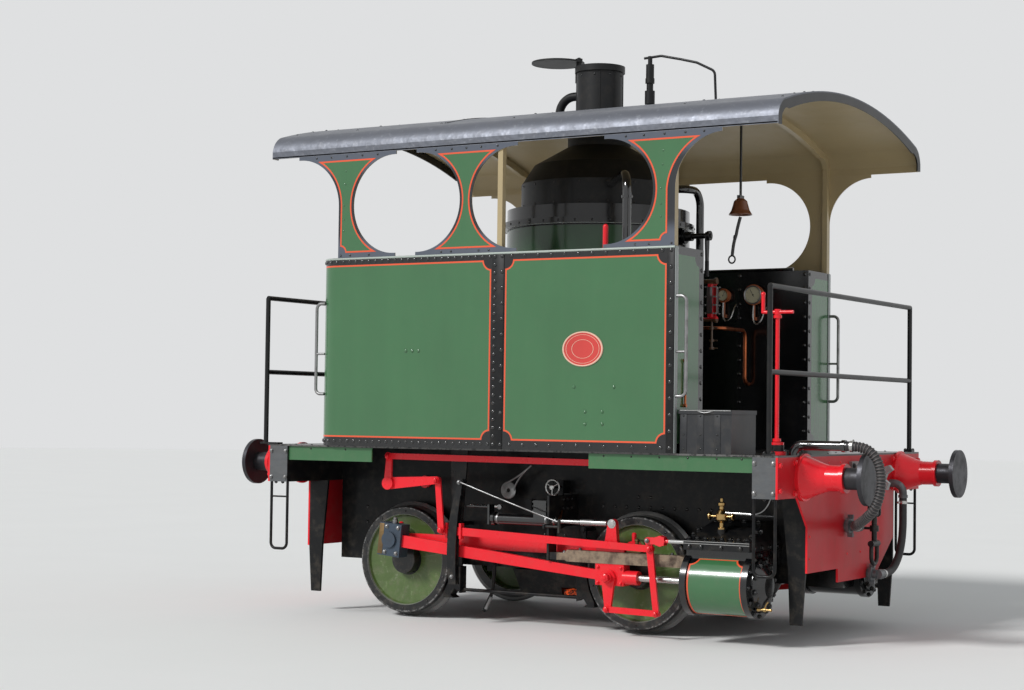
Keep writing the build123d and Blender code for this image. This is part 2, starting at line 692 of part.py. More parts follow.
# Motion brackets reach from the frame over the coupling rod's path to the slide bars, with pump holes
bracket_x = 183
bracket_plate = 16
bracket_outer = bar_outer + 8
bracket_top = rail_top + 880
rod_sweep_top = axle_z + crank_radius + rod_eye_radius + 40
pump_y = motion_y - 15
pump_z = rail_top + 710
pump_rod_radius = 12
link_top = (-484, rail_top + 952)
link_pivot = (-541, rail_top + 612)
link_bottom = (-541, rail_top + 250)
link_cheek = 12
link_gap = 22
link_inner_y = motion_y + 37
hanger_outer_y = link_inner_y - 2
hanger_plate = 13
trunnion_radius = 22
rocker_x = 296
rocker_y = link_inner_y + 2 * link_cheek + link_gap + 6
rocker_z = rail_top + 678
with BuildPart() as brackets:
    for side in both_sides:
        with BuildSketch(cross_plane(bracket_x)):
            with BuildLine():
                Polyline((side * frame_outer_y, rod_sweep_top + 30), (side * (rod_plane - 60), rod_sweep_top + 30),
                         (side * (rod_plane + rod_thickness + 18), rod_sweep_top),
                         (side * (rod_plane + rod_thickness + 18), bar_low),
                         (side * bracket_outer, bar_low), (side * bracket_outer, bracket_top),
                         (side * frame_outer_y, bracket_top), close=True)
            make_face()
            with Locations((side * pump_y, pump_z)):
                Circle(pump_rod_radius + seat_gap, mode=Mode.SUBTRACT)
        extrude(amount=bracket_plate)
        block(bracket_x + bracket_plate, bar_left, side * bar_inner, side * bar_outer, bar_end_low, bar_end_high)
        block(bracket_x, bracket_x + bracket_plate, side * bracket_outer, side * (rocker_y + 16),
              rocker_z - 14, rocker_z + 14)
        rod_along(bracket_x + bracket_plate, rocker_x, side * rocker_y, rocker_z, 9)
        block(rocker_x, rocker_x + 14, side * (rocker_y - 10), side * (rocker_y + 10), rocker_z - 40, rocker_z + 46)
        with BuildSketch(side_plane(side * (hanger_outer_y - hanger_plate))):
            with BuildLine():
                Polyline((link_pivot[0] - 38, link_pivot[1]), (link_pivot[0] - 55, deck_underside),
                         (link_pivot[0] + 85, deck_underside), (link_pivot[0] + 38, link_pivot[1]), close=True)
            make_face()
            with Locations(link_pivot):
                Circle(38)
                Circle(trunnion_radius + bearing_clearance, mode=Mode.SUBTRACT)
        extrude(amount=-side * hanger_plate)
save(brackets.part, "motion_brackets")


def big_end_pin(angle):
    """Driving crankpin of a side, (x, z)."""
    dx, dz = crank_offset(angle)
    return driving_axle_x + dx, axle_z + dz


def crosshead_x(angle):
    """Crosshead pin position for a crank angle."""
    pin_x, pin_z = big_end_pin(angle)
    return pin_x + sqrt(connecting_rod_length ** 2 - (pin_z - cylinder_z) ** 2)


cranks = ((-1, near_crank_angle), (1, far_crank_angle))

# Crossheads wrap the slide bar from behind and hold the piston rod and a drop arm
shoe_half = 105
rod_slot = 44
slot_inner = motion_y - rod_slot / 2
slot_outer = motion_y + rod_slot / 2
crosshead_inner = rod_plane + rod_thickness + 24
crosshead_outer = motion_y + 30
gudgeon_radius = 32
drop_arm_foot = rail_top + 153
pump_lug = 30
union_y = crosshead_outer + 23
union_plate = 16
union_pin = 12
crosshead_boss = 46
piston_rod_radius = 22
boss_length = 100
with BuildPart() as crossheads:
    for side, angle in cranks:
        x = crosshead_x(angle)
        block(x - shoe_half, x + shoe_half, side * crosshead_inner, side * (bar_inner - seat_gap),
              cylinder_z - 56, bar_high + 34)
        block(x - shoe_half, x + shoe_half, side * crosshead_inner, side * (bar_outer - 10),
              bar_high + seat_gap, bar_high + 34)
        block(x - shoe_half, x + shoe_half, side * crosshead_inner, side * crosshead_outer,
              cylinder_z - 56, bar_low - seat_gap)
        rod_along(x + shoe_half - 5, x + shoe_half + boss_length, side * motion_y, cylinder_z, crosshead_boss)
        with BuildSketch(side_plane(side * crosshead_outer)):
            link_outline((x, cylinder_z), (x, drop_arm_foot), 100, 44)
        extrude(amount=-side * 22)
        with BuildSketch(side_plane(side * (pump_y - 20))):
            with BuildLine():
                Polyline((x - 76, bar_high + 34), (x - 50, bar_high + 70), (x - pump_lug, pump_z),
                         (x + pump_lug, pump_z), (x + 40, bar_high + 70), (x + 84, bar_high + 34), close=True)
            make_face()
            with Locations((x, pump_z)):
                Circle(pump_lug)
        extrude(amount=-side * 40)
        pin_across(x, drop_arm_foot, side * (crosshead_outer + 22), side * (union_y + union_plate + 2), union_pin)
        with BuildSketch(side_plane(side * slot_inner)):
            with Locations((x - shoe_half / 2, cylinder_z)):
                Rectangle(shoe_half + 100, 2 * (bar_low - cylinder_z))
        extrude(amount=-side * rod_slot, mode=Mode.SUBTRACT)
        pin_across(x, cylinder_z, side * crosshead_inner, side * (crosshead_outer + 48), gudgeon_radius)
save(crossheads.part, "crossheads")

with BuildPart() as piston_rods:
    for side, angle in cranks:
        rod_along(crosshead_x(angle) + shoe_half + boss_length, gland_x + gland_plate, side * motion_y,
                  cylinder_z, piston_rod_radius)
save(piston_rods.part, "piston_rods")

# Connecting rods and their grey strap ends
rod_flat = 38
big_end_half = 92
big_end_height = 230
big_end_inner = pin_end + 8
big_end_outer = motion_y + 42
with BuildPart() as connecting_rods:
    for side, angle in cranks:
        pin = big_end_pin(angle)
        head = (crosshead_x(angle), cylinder_z)
        tilt = atan2(head[1] - pin[1], head[0] - pin[0])
        start = (pin[0] + 2 * big_end_half * cos(tilt), pin[1] + 2 * big_end_half * sin(tilt))
        with BuildSketch(side_plane(side * (motion_y - rod_flat / 2))):
            link_outline(start, head, 84, 62)
            with Locations(((pin[0] + start[0]) / 2, (pin[1] + start[1]) / 2)):
                Rectangle(2 * big_end_half, 84, rotation=degrees(tilt))
            with Locations(head):
                Circle(41)
                Circle(gudgeon_radius + bearing_clearance, mode=Mode.SUBTRACT)
            with Locations(pin):
                Rectangle(2 * big_end_half, big_end_height + 20, rotation=degrees(tilt), mode=Mode.SUBTRACT)
        extrude(amount=-side * rod_flat)
save(connecting_rods.part, "connecting_rods")

with BuildPart() as big_ends:
    for side, angle in cranks:
        pin = big_end_pin(angle)
        tilt = degrees(atan2(cylinder_z - pin[1], crosshead_x(angle) - pin[0]))
        with BuildSketch(side_plane(side * big_end_inner)):
            with Locations(pin):
                Rectangle(2 * big_end_half, big_end_height, rotation=tilt)
        extrude(amount=-side * (big_end_outer - big_end_inner))
        pin_across(pin[0], pin[1], side * big_end_outer, side * (big_end_outer + 16), 56)
save(big_ends.part, "big_ends")

# Handrails at the two ends
rail_radius = 17
rail_rear_x = -body_half_length - 38
rail_front_x = body_half_length - 67
rail_y = body_half_width - rail_radius
rail_heights = (deck_top + 1047, deck_top + 515)
rail_foot_hold = 90
rail_foot_half = 30
rail_foot_plate = 12
with BuildPart() as handrails:
    for rail_x, foot_left, foot_right in (
            (rail_rear_x, rail_rear_x - rail_foot_half, -body_half_length + rail_foot_hold),
            (rail_front_x, rail_front_x - rail_foot_half, rail_front_x + rail_foot_half)):
        for side in (-1, 1):
            block(foot_left, foot_right, side * (rail_y - rail_foot_half), side * (rail_y + rail_foot_half),
                  deck_top, deck_top + rail_foot_plate)
            post_low = deck_top + rail_foot_plate / 2
            with Locations((rail_x, side * rail_y, (post_low + rail_heights[0]) / 2)):
                Cylinder(rail_radius, rail_heights[0] - post_low)
        for height in rail_heights:
            with Locations((rail_x, 0, height)):
                Cylinder(rail_radius, 2 * rail_y, rotation=(90, 0, 0))
save(handrails.part, "handrails")

# Locker with a hinged lid at the near front corner of the footplate
locker_left = tank_right + 34
locker_right = locker_left + 353
locker_outer = body_half_width - 5
locker_inner = locker_outer - 370
locker_top = deck_top + 250
locker_wall = 6
lid_plate = 26
hinge_radius = 9
hinge_pin_radius = 5
hinge_y = -locker_inner + 14
hinge_z = locker_top + lid_plate / 2
hinge_places = (locker_left + 80, locker_right - 80)
with BuildPart() as locker:
    block(locker_left, locker_right, -locker_outer, -locker_inner, deck_top, locker_top)
    with BuildSketch(Plane.XY.offset(locker_top)):
        with Locations(((locker_left + locker_right) / 2, -(locker_outer + locker_inner) / 2)):
            Rectangle(locker_right - locker_left - 2 * locker_wall, locker_outer - locker_inner - 2 * locker_wall)
    extrude(amount=-(locker_top - deck_top - locker_wall), mode=Mode.SUBTRACT)
    for centre_x in hinge_places:
        for lug_x in (centre_x - 32, centre_x + 32):
            block(lug_x - 6, lug_x + 6, -locker_inner, hinge_y + hinge_radius, locker_top - 24,
                  hinge_z + hinge_radius - 5)
        rod_along(centre_x - 32, centre_x + 32, hinge_y, hinge_z, hinge_pin_radius)
save(locker.part, "locker")

with BuildPart() as locker_lid:
    block(locker_left - 8, locker_right + 8, -locker_outer - 8, -locker_inner - 2, locker_top + seat_gap,
          locker_top + lid_plate)
    for centre_x in hinge_places:
        block(centre_x - 25, centre_x + 25, -locker_inner - 10, hinge_y, locker_top + lid_plate - 8,
              locker_top + lid_plate)
        rod_along(centre_x - 25, centre_x + 25, hinge_y, hinge_z, hinge_radius)
        with Locations((centre_x, hinge_y, hinge_z)):
            Cylinder(hinge_pin_radius + bearing_clearance, 52, rotation=(0, 90, 0), mode=Mode.SUBTRACT)
save(locker_lid.part, "locker_lid")


def crossing(first, first_radius, second, second_radius):
    """Meeting point, on the +X side, of two circles about pins (x, z)."""
    dx, dz = second[0] - first[0], second[1] - first[1]
    apart = hypot(dx, dz)
    along = (first_radius ** 2 - second_radius ** 2 + apart ** 2) / (2 * apart)
    off = sqrt(first_radius ** 2 - along ** 2)
    return first[0] + (along * dx + off * dz) / apart, first[1] + (along * dz - off * dx) / apart


# Combination levers hang from the radius rods and are pulled by the union links
radius_pin = (975, rail_top + 562)
lever_low_length = 419
lever_high_length = 56
union_length = 373
lever_pin = 12
lever_y = union_y + union_plate + seat_gap
lever_plate = 18
radius_rod_y = union_y - 2
radius_rod_plate = 18


def lever_pins(angle):
    """Foot, bottom and valve pins (x, z) of one side's lever for its crank angle."""
    foot = (crosshead_x(angle), drop_arm_foot)
    bottom = crossing(foot, union_length, radius_pin, lever_low_length)
    share = lever_high_length / lever_low_length
    valve = (radius_pin[0] + share * (radius_pin[0] - bottom[0]), radius_pin[1] + share * (radius_pin[1] - bottom[1]))
    return foot, bottom, valve


with BuildPart() as levers:
    for side, angle in cranks:
        foot, bottom, valve = lever_pins(angle)
        with BuildSketch(side_plane(side * union_y)):
            link_outline(foot, bottom, 40, 40)
            with Locations(foot):
                Circle(24)
                Circle(union_pin + bearing_clearance, mode=Mode.SUBTRACT)
        extrude(amount=-side * union_plate)
        with BuildSketch(side_plane(side * lever_y)):
            link_outline(bottom, radius_pin, 40, 46)
            link_outline(radius_pin, valve, 46, 46)
            with Locations(valve):
                Circle(lever_pin + bearing_clearance, mode=Mode.SUBTRACT)
        extrude(amount=-side * lever_plate)
        pin_across(bottom[0], bottom[1], side * union_y, side * (lever_y + lever_plate + 8), 15)
        pin_across(radius_pin[0], radius_pin[1], side * radius_rod_y, side * (lever_y + lever_plate + 8), lever_pin)
save(levers.part, "combination_levers")

# Valve crossheads: forks on the levers' tops, with the valve spindles into the chests
jaw_inner = union_y
jaw_outer = lever_y + lever_plate + seat_gap + 14
jaw_neck = 56
jaw_length = 62
jaw_half_height = 36
spindle_radius = 12
spindle_gland = 30
with BuildPart() as valve_crossheads:
    for side, angle in cranks:
        valve = lever_pins(angle)[2]
        with BuildSketch(side_plane(side * jaw_inner)):
            link_outline(valve, (valve[0] + jaw_neck, valve[1]), 44, 44)
            with Locations((valve[0] + jaw_neck + jaw_length / 2, valve[1])):
                RegularPolygon(jaw_half_height, 8)
                Rectangle(jaw_length, 1.5 * jaw_half_height)
        extrude(amount=-side * (jaw_outer - jaw_inner))
        with BuildSketch(side_plane(side * (union_y + union_plate))):
            with Locations((valve[0] - 10, valve[1])):
                Rectangle(2 * jaw_neck + 10, 3 * jaw_half_height)
        extrude(amount=-side * (lever_plate + 2 * seat_gap), mode=Mode.SUBTRACT)
        pin_across(valve[0], valve[1], side * jaw_inner, side * (jaw_outer + 8), lever_pin)
        spindle_y = side * (lever_y + lever_plate / 2)
        rod_along(valve[0] + jaw_neck + jaw_length - 6, chest_left - spindle_gland, spindle_y, valve[1],
                  spindle_radius)
save(valve_crossheads.part, "valve_crossheads")

# Radius rods pass between the cheeks of the expansion links and end in a lifting tail
tail_pin = (link_pivot[0] - 81, rail_top + 618)
with BuildPart() as radius_rods:
    for side in both_sides:
        with BuildSketch(side_plane(side * radius_rod_y)):
            link_outline(tail_pin, radius_pin, 56, 44)
            with Locations(tail_pin):
                Circle(30)
            with Locations(radius_pin):
                Circle(lever_pin + bearing_clearance, mode=Mode.SUBTRACT)
        extrude(amount=-side * radius_rod_plate)
        for collar in (-56, 56):
            block(link_pivot[0] + collar - 8, link_pivot[0] + collar + 8, side * (radius_rod_y - 12),
                  side * (radius_rod_y + radius_rod_plate + 12), link_pivot[1] - 48, link_pivot[1] + 58)
save(radius_rods.part, "radius_rods")

# Expansion links: two curved cheeks with spacers at their ends, swung on a trunnion in the hanger
link_end_half = 17
link_half = 29
link_outer_y = link_inner_y + 2 * link_cheek + link_gap
with BuildPart() as expansion_links:
    for side in both_sides:
        for cheek_y, thickness in ((link_inner_y, link_cheek), (link_outer_y - link_cheek, link_cheek)):
            with BuildSketch(side_plane(side * cheek_y)):
                with BuildLine():
                    Line((link_top[0] - link_end_half, link_top[1]), (link_top[0] + link_end_half, link_top[1]))
                    ThreePointArc((link_top[0] + link_end_half, link_top[1]),
                                  (link_pivot[0] + link_half + 4, link_pivot[1] + 60),
                                  (link_bottom[0] + link_half, link_bottom[1]))
                    Line((link_bottom[0] + link_half, link_bottom[1]), (link_bottom[0] - link_half, link_bottom[1]))
                    ThreePointArc((link_bottom[0] - link_half, link_bottom[1]),
                                  (link_pivot[0] - link_half - 3, link_pivot[1] + 60),
                                  (link_top[0] - link_end_half, link_top[1]))
                make_face()
                with Locations(link_top):
                    Circle(link_end_half + 7)
            extrude(amount=-side * thickness)
        for low, high, centre_x in ((link_top[1] - 90, link_top[1] - 4, link_top[0] - 8),
                                    (link_bottom[1] + 4, link_bottom[1] + 110, link_bottom[0] - 4)):
            block(centre_x - 14, centre_x + 14, side * link_inner_y, side * link_outer_y, low, high)
        pin_across(link_pivot[0], link_pivot[1], side * (hanger_outer_y - hanger_plate), side * (link_inner_y + 4),
                   trunnion_radius)
        pin_across(link_top[0], link_top[1], side * (link_outer_y - 4), side * (rocker_y + 14), 9)
save(expansion_links.part, "expansion_links")

# Weighshaft across the frames, its arms and lifting links, and the near arm to the reversing rod
lift_arm_y = motion_y + 113
lift_arm_plate = 16
lift_arm_end = (-655, rail_top + 962)
lift_link_y = lift_arm_y - 18
reach_arm_y = lift_arm_y + lift_arm_plate
reach_arm_top = (weighshaft_x + 11, rail_top + 1121)
reach_rod_y = reach_arm_y + lift_arm_plate + 1
reach_rod_plate = 14
with BuildPart() as weighshaft:
    pin_across(weighshaft_x, weighshaft_z, -lift_arm_y - 8, lift_arm_y + lift_arm_plate, weighshaft_radius)
    for side in both_sides:
        for collar_y in (side * (frame_outer_y + seat_gap), side * lift_arm_y):
            pin_across(weighshaft_x, weighshaft_z, collar_y, collar_y + side * 24, 44)
        with BuildSketch(side_plane(side * lift_arm_y)):
            link_outline((weighshaft_x, weighshaft_z), lift_arm_end, 84, 52)
        extrude(amount=-side * lift_arm_plate)
        with BuildSketch(side_plane(side * lift_link_y)):
            link_outline(lift_arm_end, tail_pin, 44, 48)
        extrude(amount=-side * 15)
        pin_across(lift_arm_end[0], lift_arm_end[1], side * lift_link_y, side * (lift_arm_y + lift_arm_plate + 8), 15)
        pin_across(tail_pin[0], tail_pin[1], side * (radius_rod_y + radius_rod_plate + seat_gap),
                   side * (lift_link_y + 22), 16)
    pin_across(weighshaft_x, weighshaft_z, -lift_arm_y, -reach_arm_y - lift_arm_plate - 4, 44)
    with BuildSketch(side_plane(-reach_arm_y)):
        link_outline((weighshaft_x, weighshaft_z), reach_arm_top, 62, 46)
    extrude(amount=lift_arm_plate)
    pin_across(reach_arm_top[0], reach_arm_top[1], -reach_arm_y, -reach_rod_y - reach_rod_plate - 4, lever_pin)
save(weighshaft.part, "weighshaft")

# Reversing rod under the near edge, its riser to the footplate and the handle on the tank
reach_rod_end = (615, rail_top + 1112)
riser_width = 46
reverser_radius = 18
with BuildPart() as reach_rod:
    with BuildSketch(side_plane(-reach_rod_y)):
        link_outline(reach_arm_top, reach_rod_end, 42, 42)
        with Locations(reach_arm_top):
            Circle(26)
            Circle(lever_pin + bearing_clearance, mode=Mode.SUBTRACT)
    extrude(amount=reach_rod_plate)
    block(reach_rod_end[0] - riser_width / 2, reach_rod_end[0] + riser_width / 2, -reach_rod_y - reach_rod_plate,
          -reach_rod_y - reach_rod_plate - 12, reach_rod_end[1] - 26, deck_underside)
    pin_across(reach_rod_end[0], reach_rod_end[1], -reach_rod_y, -reach_rod_y - reach_rod_plate - 20, 14)
    with Locations((reach_rod_end[0] + 45, -reach_rod_y, tank_top + 80)):
        Cylinder(reverser_radius, 160)
    with Locations((reach_rod_end[0] + 45, -reach_rod_y, tank_top + 160)):
        Sphere(reverser_radius)
    with Locations((reach_rod_end[0] + 45, -reach_rod_y, tank_top + 5)):
        Cylinder(32, 10)
save(reach_rod.part, "reach_rod")

# Feed pumps: barrel and valve box behind the motion bracket, plunger rod to the crosshead's lug
pump_left = -279
pump_radius = 36
valve_box = (62, 160)
pump_drive_z = rail_top + 789
with BuildPart() as feed_pumps:
    for side, angle in cranks:
        rod_along(pump_left, bracket_x, side * pump_y, pump_z, pump_radius)
        rod_along(pump_left, pump_left + 26, side * pump_y, pump_z, pump_radius + 9)
        rod_along(bracket_x - 18, bracket_x, side * pump_y, pump_z, pump_radius + 12)
        block(valve_box[0], valve_box[1], side * (pump_y - 34), side * (pump_y + 34), pump_z, pump_z + 135)
        for step in range(3):
            block(valve_box[0] - 6, valve_box[1] + 6, side * (pump_y - 40), side * (pump_y + 40),
                  pump_z + 60 + 30 * step, pump_z + 70 + 30 * step)
        block(pump_left - 14, pump_left, side * (pump_y - 18), side * (hanger_outer_y - 2), pump_z - 40,
              pump_drive_z + 16)
        rod_along(link_pivot[0] + 66, pump_left - 12, side * (hanger_outer_y - 9), pump_drive_z, 7)
        rod_along(bracket_x, crosshead_x(angle) - pump_lug - 2.4, side * pump_y, pump_z, pump_rod_radius)
save(feed_pumps.part, "feed_pumps")

# Oval brass glands on the piston rods, spindle glands and drip oilers on the chests
gland_width = 70
gland_height = 160
oiler_profile = (
    (0, 0), (24, 0), (24, 10), (13, 14), (13, 40), (36, 62), (38, 96), (24, 120), (15, 128), (15, 146),
    (24, 152), (24, 168), (10, 176), (10, 196), (0, 200),
)
oiler_arm_z = 82
with BuildPart() as glands:
    for side, angle in cranks:
        with BuildSketch(cross_plane(gland_x)):
            with Locations((side * motion_y, cylinder_z)):
                Ellipse(gland_width / 2, gland_height / 2)
                Circle(piston_rod_radius + seat_gap, mode=Mode.SUBTRACT)
        extrude(amount=gland_plate)
        spindle_z = lever_pins(angle)[2][1]
        with Locations((chest_left - spindle_gland / 2, side * (lever_y + lever_plate / 2), spindle_z)):
            Cylinder(24, spindle_gland, rotation=(0, 90, 0))
        with BuildSketch(Plane(origin=(oiler_x, side * oiler_y, oiler_seat), x_dir=(1, 0, 0), z_dir=(0, -1, 0))):
            with BuildLine():
                Polyline(*oiler_profile, close=True)
            make_face()
        revolve(axis=Axis((oiler_x, side * oiler_y, oiler_seat), (0, 0, 1)))
        rod_along(oiler_x - 84, oiler_x + 84, side * oiler_y, oiler_seat + oiler_arm_z, 8)
        for arm_end in (-84, 78):
            rod_along(oiler_x + arm_end, oiler_x + arm_end + 6, side * oiler_y, oiler_seat + oiler_arm_z, 26)
save(glands.part, "glands_and_oilers")

# Brakes: a shoe on the inner side of each wheel, its hanger from the frame and a pull rod between the two
shoe_radius = tread_radius + 11
shoe_inner_y = wheel_back + 42
shoe_outer_y = tyre_face - 13
shoe_low = rail_top + 130
shoe_high = rail_top + 352
shoe_back = 466
hanger_y = (shoe_inner_y + shoe_outer_y) / 2
hanger_pin_z = rail_top + 650
hanger_pin_out = 436
pull_rod_z = shoe_low + 60
with BuildPart() as brakes:
    for side in both_sides:
        for axle_x, way in ((driving_axle_x, 1), (coupled_axle_x, -1)):
            with BuildSketch(side_plane(side * shoe_inner_y)):
                with Locations((axle_x + way * (shoe_back + 330) / 2, (shoe_low + shoe_high) / 2)):
                    Rectangle(shoe_back - 330, shoe_high - shoe_low)
                with Locations((axle_x, axle_z)):
                    Circle(shoe_radius, mode=Mode.SUBTRACT)
                with Locations((axle_x + way * (shoe_back - 14), shoe_low + 10)):
                    Rectangle(120, 60, rotation=-way * 35, mode=Mode.SUBTRACT)
            extrude(amount=-side * (shoe_outer_y - shoe_inner_y))
            with BuildSketch(side_plane(side * (hanger_y - 9))):
                link_outline((axle_x + way * (shoe_back - 30), shoe_low + 110),
                             (axle_x + way * hanger_pin_out, hanger_pin_z), 44, 40)
            extrude(amount=-side * 18)
            pin_across(axle_x + way * hanger_pin_out, hanger_pin_z, side * frame_outer_y, side * (hanger_y + 20), 15)
        rod_along(driving_axle_x + shoe_back - 12, coupled_axle_x - shoe_back + 12, side * hanger_y, pull_rod_z, 12)
save(brakes.part, "brake_gear")

# Ash pan under the firebox, tapering down, with an air opening on each side
pan_half_x = 400
pan_half_y = 470
pan_low = rail_top + 142
pan_taper = 50
pan_wall = 12
with BuildPart() as ashpan:
    with BuildSketch(Plane.XY.offset(pan_low)):
        Rectangle(2 * (pan_half_x - pan_taper), 2 * (pan_half_y - pan_taper))
    with BuildSketch(Plane.XY.offset(firebox_bottom)):
        Rectangle(2 * pan_half_x, 2 * pan_half_y)
    loft()
    for side in both_sides:
        with BuildSketch(side_plane(side * (pan_half_y + 20))):
            with Locations((86, rail_top + 181)):
                Rectangle(215, 70)
        extrude(amount=side * 250, mode=Mode.SUBTRACT)
save(ashpan.part, "ashpan")

# Handbrake column with its tee handle and upright grip
brake_x = body_half_length - 127
brake_y = -1010
brake_handle_z = deck_top + 897
brake_handle_half = 105
with BuildPart() as handbrake:
    for low, high, radius in ((0, 22, 60), (22, 60, 26), (60, 80, 45), (80, 897, 13), (880, 915, 20)):
        with Locations((brake_x, brake_y, deck_top + (low + high) / 2)):
            Cylinder(radius, high - low)
    rod_along(brake_x - brake_handle_half, brake_x + brake_handle_half, brake_y, brake_handle_z, 11)
    with Locations((brake_x - brake_handle_half + 6, brake_y, brake_handle_z + 55)):
        Cylinder(12, 120)
    with Locations((brake_x - brake_handle_half + 6, brake_y, brake_handle_z + 115)):
        Sphere(15)
save(handbrake.part, "handbrake")

# Grab irons on the tank ends
grab_radius = 11
grab_out = 74
grab_y = tank_half_width - 18
grab_low = rail_top + 1550
grab_high = rail_top + 2185
corner_drop = tank_corner_radius - 18 - grab_radius
grab_corner_x = tank_left + tank_corner_radius - sqrt(tank_corner_radius ** 2 - corner_drop ** 2)
with BuildPart() as grab_irons:
    for side in both_sides:
        for end_x, way in ((tank_right + seat_gap, 1), (grab_corner_x - seat_gap, -1)):
            out_x = end_x + way * grab_out
            with BuildLine() as grab_path:
                FilletPolyline((end_x, side * grab_y, grab_low), (out_x, side * grab_y, grab_low),
                               (out_x, side * grab_y, grab_high), (end_x, side * grab_y, grab_high), radius=38)
            with BuildSketch(Plane(origin=(end_x, side * grab_y, grab_low), z_dir=(way, 0, 0))):
                Circle(grab_radius)
            sweep(path=grab_path.wires()[0])
            rod_along(end_x, out_x, side * grab_y, (grab_low + grab_high) / 2 - 36, 8)
save(grab_irons.part, "grab_irons")

# Gauges: two dials on the far tank, water gauge on the boiler pads with its frame, glass and drain cocks
dial_z = rail_top + 2328
dial_depth = 52
dials = ((607, 45), (850, 70))
glass_y, glass_top, glass_x0 = boiler_pads[1][0], boiler_pads[1][1], boiler_pads[1][3]
glass_low = boiler_pads[2][1]
glass_x = glass_x0 + 122
glass_frame_half = 42
drain_low = glass_low - 212
with BuildPart() as gauges:
    for dial_x, dial_radius in dials:
        pin_across(dial_x, dial_z, tank_inner_y - dial_depth, tank_inner_y, dial_radius)
        pin_across(dial_x, dial_z, tank_inner_y - dial_depth + 4, tank_inner_y - dial_depth + 16, dial_radius + 7)
        with Locations((dial_x, tank_inner_y - 24, dial_z - dial_radius - 50)):
            Cylinder(7, 108)
        block(dial_x - 12, dial_x + 12, tank_inner_y - 34, tank_inner_y, dial_z - dial_radius - 118,
              dial_z - dial_radius - 94)
    for height in (glass_low, glass_top):
        rod_along(glass_x0, glass_x + 26, glass_y, height, 15)
        rod_along(glass_x + 26, glass_x + 40, glass_y, height, 24)
    with Locations((glass_x, glass_y, (glass_low + glass_top) / 2)):
        Cylinder(9, glass_top - glass_low)
    for strip in (-1, 1):
        block(glass_x - 15, glass_x + 15, glass_y + strip * (glass_frame_half - 8), glass_y + strip * glass_frame_half,
              glass_low + 14, glass_top - 14)
    for height in (glass_low + 18, glass_top - 18):
        block(glass_x - 15, glass_x + 15, glass_y - glass_frame_half, glass_y + glass_frame_half,
              height - 5, height + 5)
    with Locations((glass_x, glass_y, (drain_low + glass_low) / 2)):
        Cylinder(8, glass_low - drain_low)
    for height in (glass_low - 62, glass_low - 150, drain_low + 6):
        with Locations((glass_x, glass_y, height)):
            Cylinder(19, 16)
        rod_along(glass_x, glass_x + 44, glass_y, height, 5)
save(gauges.part, "gauges")

# Regulator spindle, gland and hanging handle on the boiler's cab side
regulator_z, regulator_seat = boiler_pads[0][1], boiler_pads[0][3]
handle_x = regulator_seat + 172
handle_length = 232
with BuildPart() as regulator:
    for start, stop, radius in ((0, 16, 50), (16, 66, 33), (66, 186, 19), (186, 206, 34), (206, 214, 16)):
        rod_along(regulator_seat + start, regulator_seat + stop, 0, regulator_z, radius)
    with BuildSketch(cross_plane(handle_x)):
        link_outline((0, regulator_z), (0, regulator_z - handle_length), 56, 26)
    extrude(amount=14)
    with Locations((handle_x + 7, 0, regulator_z - handle_length)):
        Cylinder(15, 110)
save(regulator.part, "regulator")

# Bell hanging from the roof, open below, with its clapper
bell_x = 1122
bell_low = rail_top + 2827
bell_wall = 7
bell_outline = ((82, 0), (80, 6), (64, 32), (54, 66), (46, 96), (28, 112))
with BuildPart() as bell:
    with BuildSketch(Plane(origin=(bell_x, 0, bell_low), x_dir=(1, 0, 0), z_dir=(0, -1, 0))):
        with BuildLine():
            Polyline(*bell_outline, (0, 118), (0, 118 - 2 * bell_wall),
                     *((radius - bell_wall, up - 4 * (up > 90)) for radius, up in reversed(bell_outline)), close=True)
        make_face()
    revolve(axis=Axis((bell_x, 0, bell_low), (0, 0, 1)))
    with Locations((bell_x, 0, bell_low + 60)):
        Cylinder(5, 100)
    with Locations((bell_x, 0, bell_low + 12)):
        Sphere(15)
    bell_hanger_top = roof_crown - roof_sheet - seat_gap
    with Locations((bell_x, 0, (bell_low + 116 + bell_hanger_top) / 2)):
        Cylinder(9, bell_hanger_top - bell_low - 116)
    with Locations((bell_x, 0, bell_hanger_top - 5)):
        Cylinder(40, 10)
    block(bell_x - 12, bell_x + 12, -34, 34, bell_low + 112, bell_low + 136)
save(bell.part, "bell")


def pipe(points, radii, radius):
    """Round pipe along filleted straight runs, as a part of its own."""
    with BuildPart() as run:
        with BuildLine() as path:
            FilletPolyline(*points, radius=radii)
        first, second = Vector(*points[0]), Vector(*points[1])
        with BuildSketch(Plane(origin=first, z_dir=second - first)):
            Circle(radius)
        sweep(path=path.wires()[0])
    return run.part


# Copper and brass pipes: delivery pipe from boiler to far tank, water level tube on the near tank's end
delivery_y, delivery_z, delivery_x0 = boiler_pads[4][0], boiler_pads[4][1], boiler_pads[4][3]
level_y = -1165
level_radius = 7
level_x = tank_right + 4 + level_radius
level_low = rail_top + 1484
level_high = rail_top + 1786
with BuildPart() as copper_pipes:
    add(pipe(((delivery_x0, delivery_y, delivery_z), (800, delivery_y, delivery_z), (800, 815, delivery_z),
              (800, 815, rail_top + 1672), (800, tank_inner_y - seat_gap, rail_top + 1672)), [60, 60, 50], 14))
    with Locations((level_x, level_y, (level_low + level_high) / 2)):
        Cylinder(level_radius, level_high - level_low)
    for height in (level_low + 8, level_high - 8):
        rod_along(tank_right, level_x + level_radius + 2, level_y, height, 11)
save(copper_pipes.part, "copper_pipes")

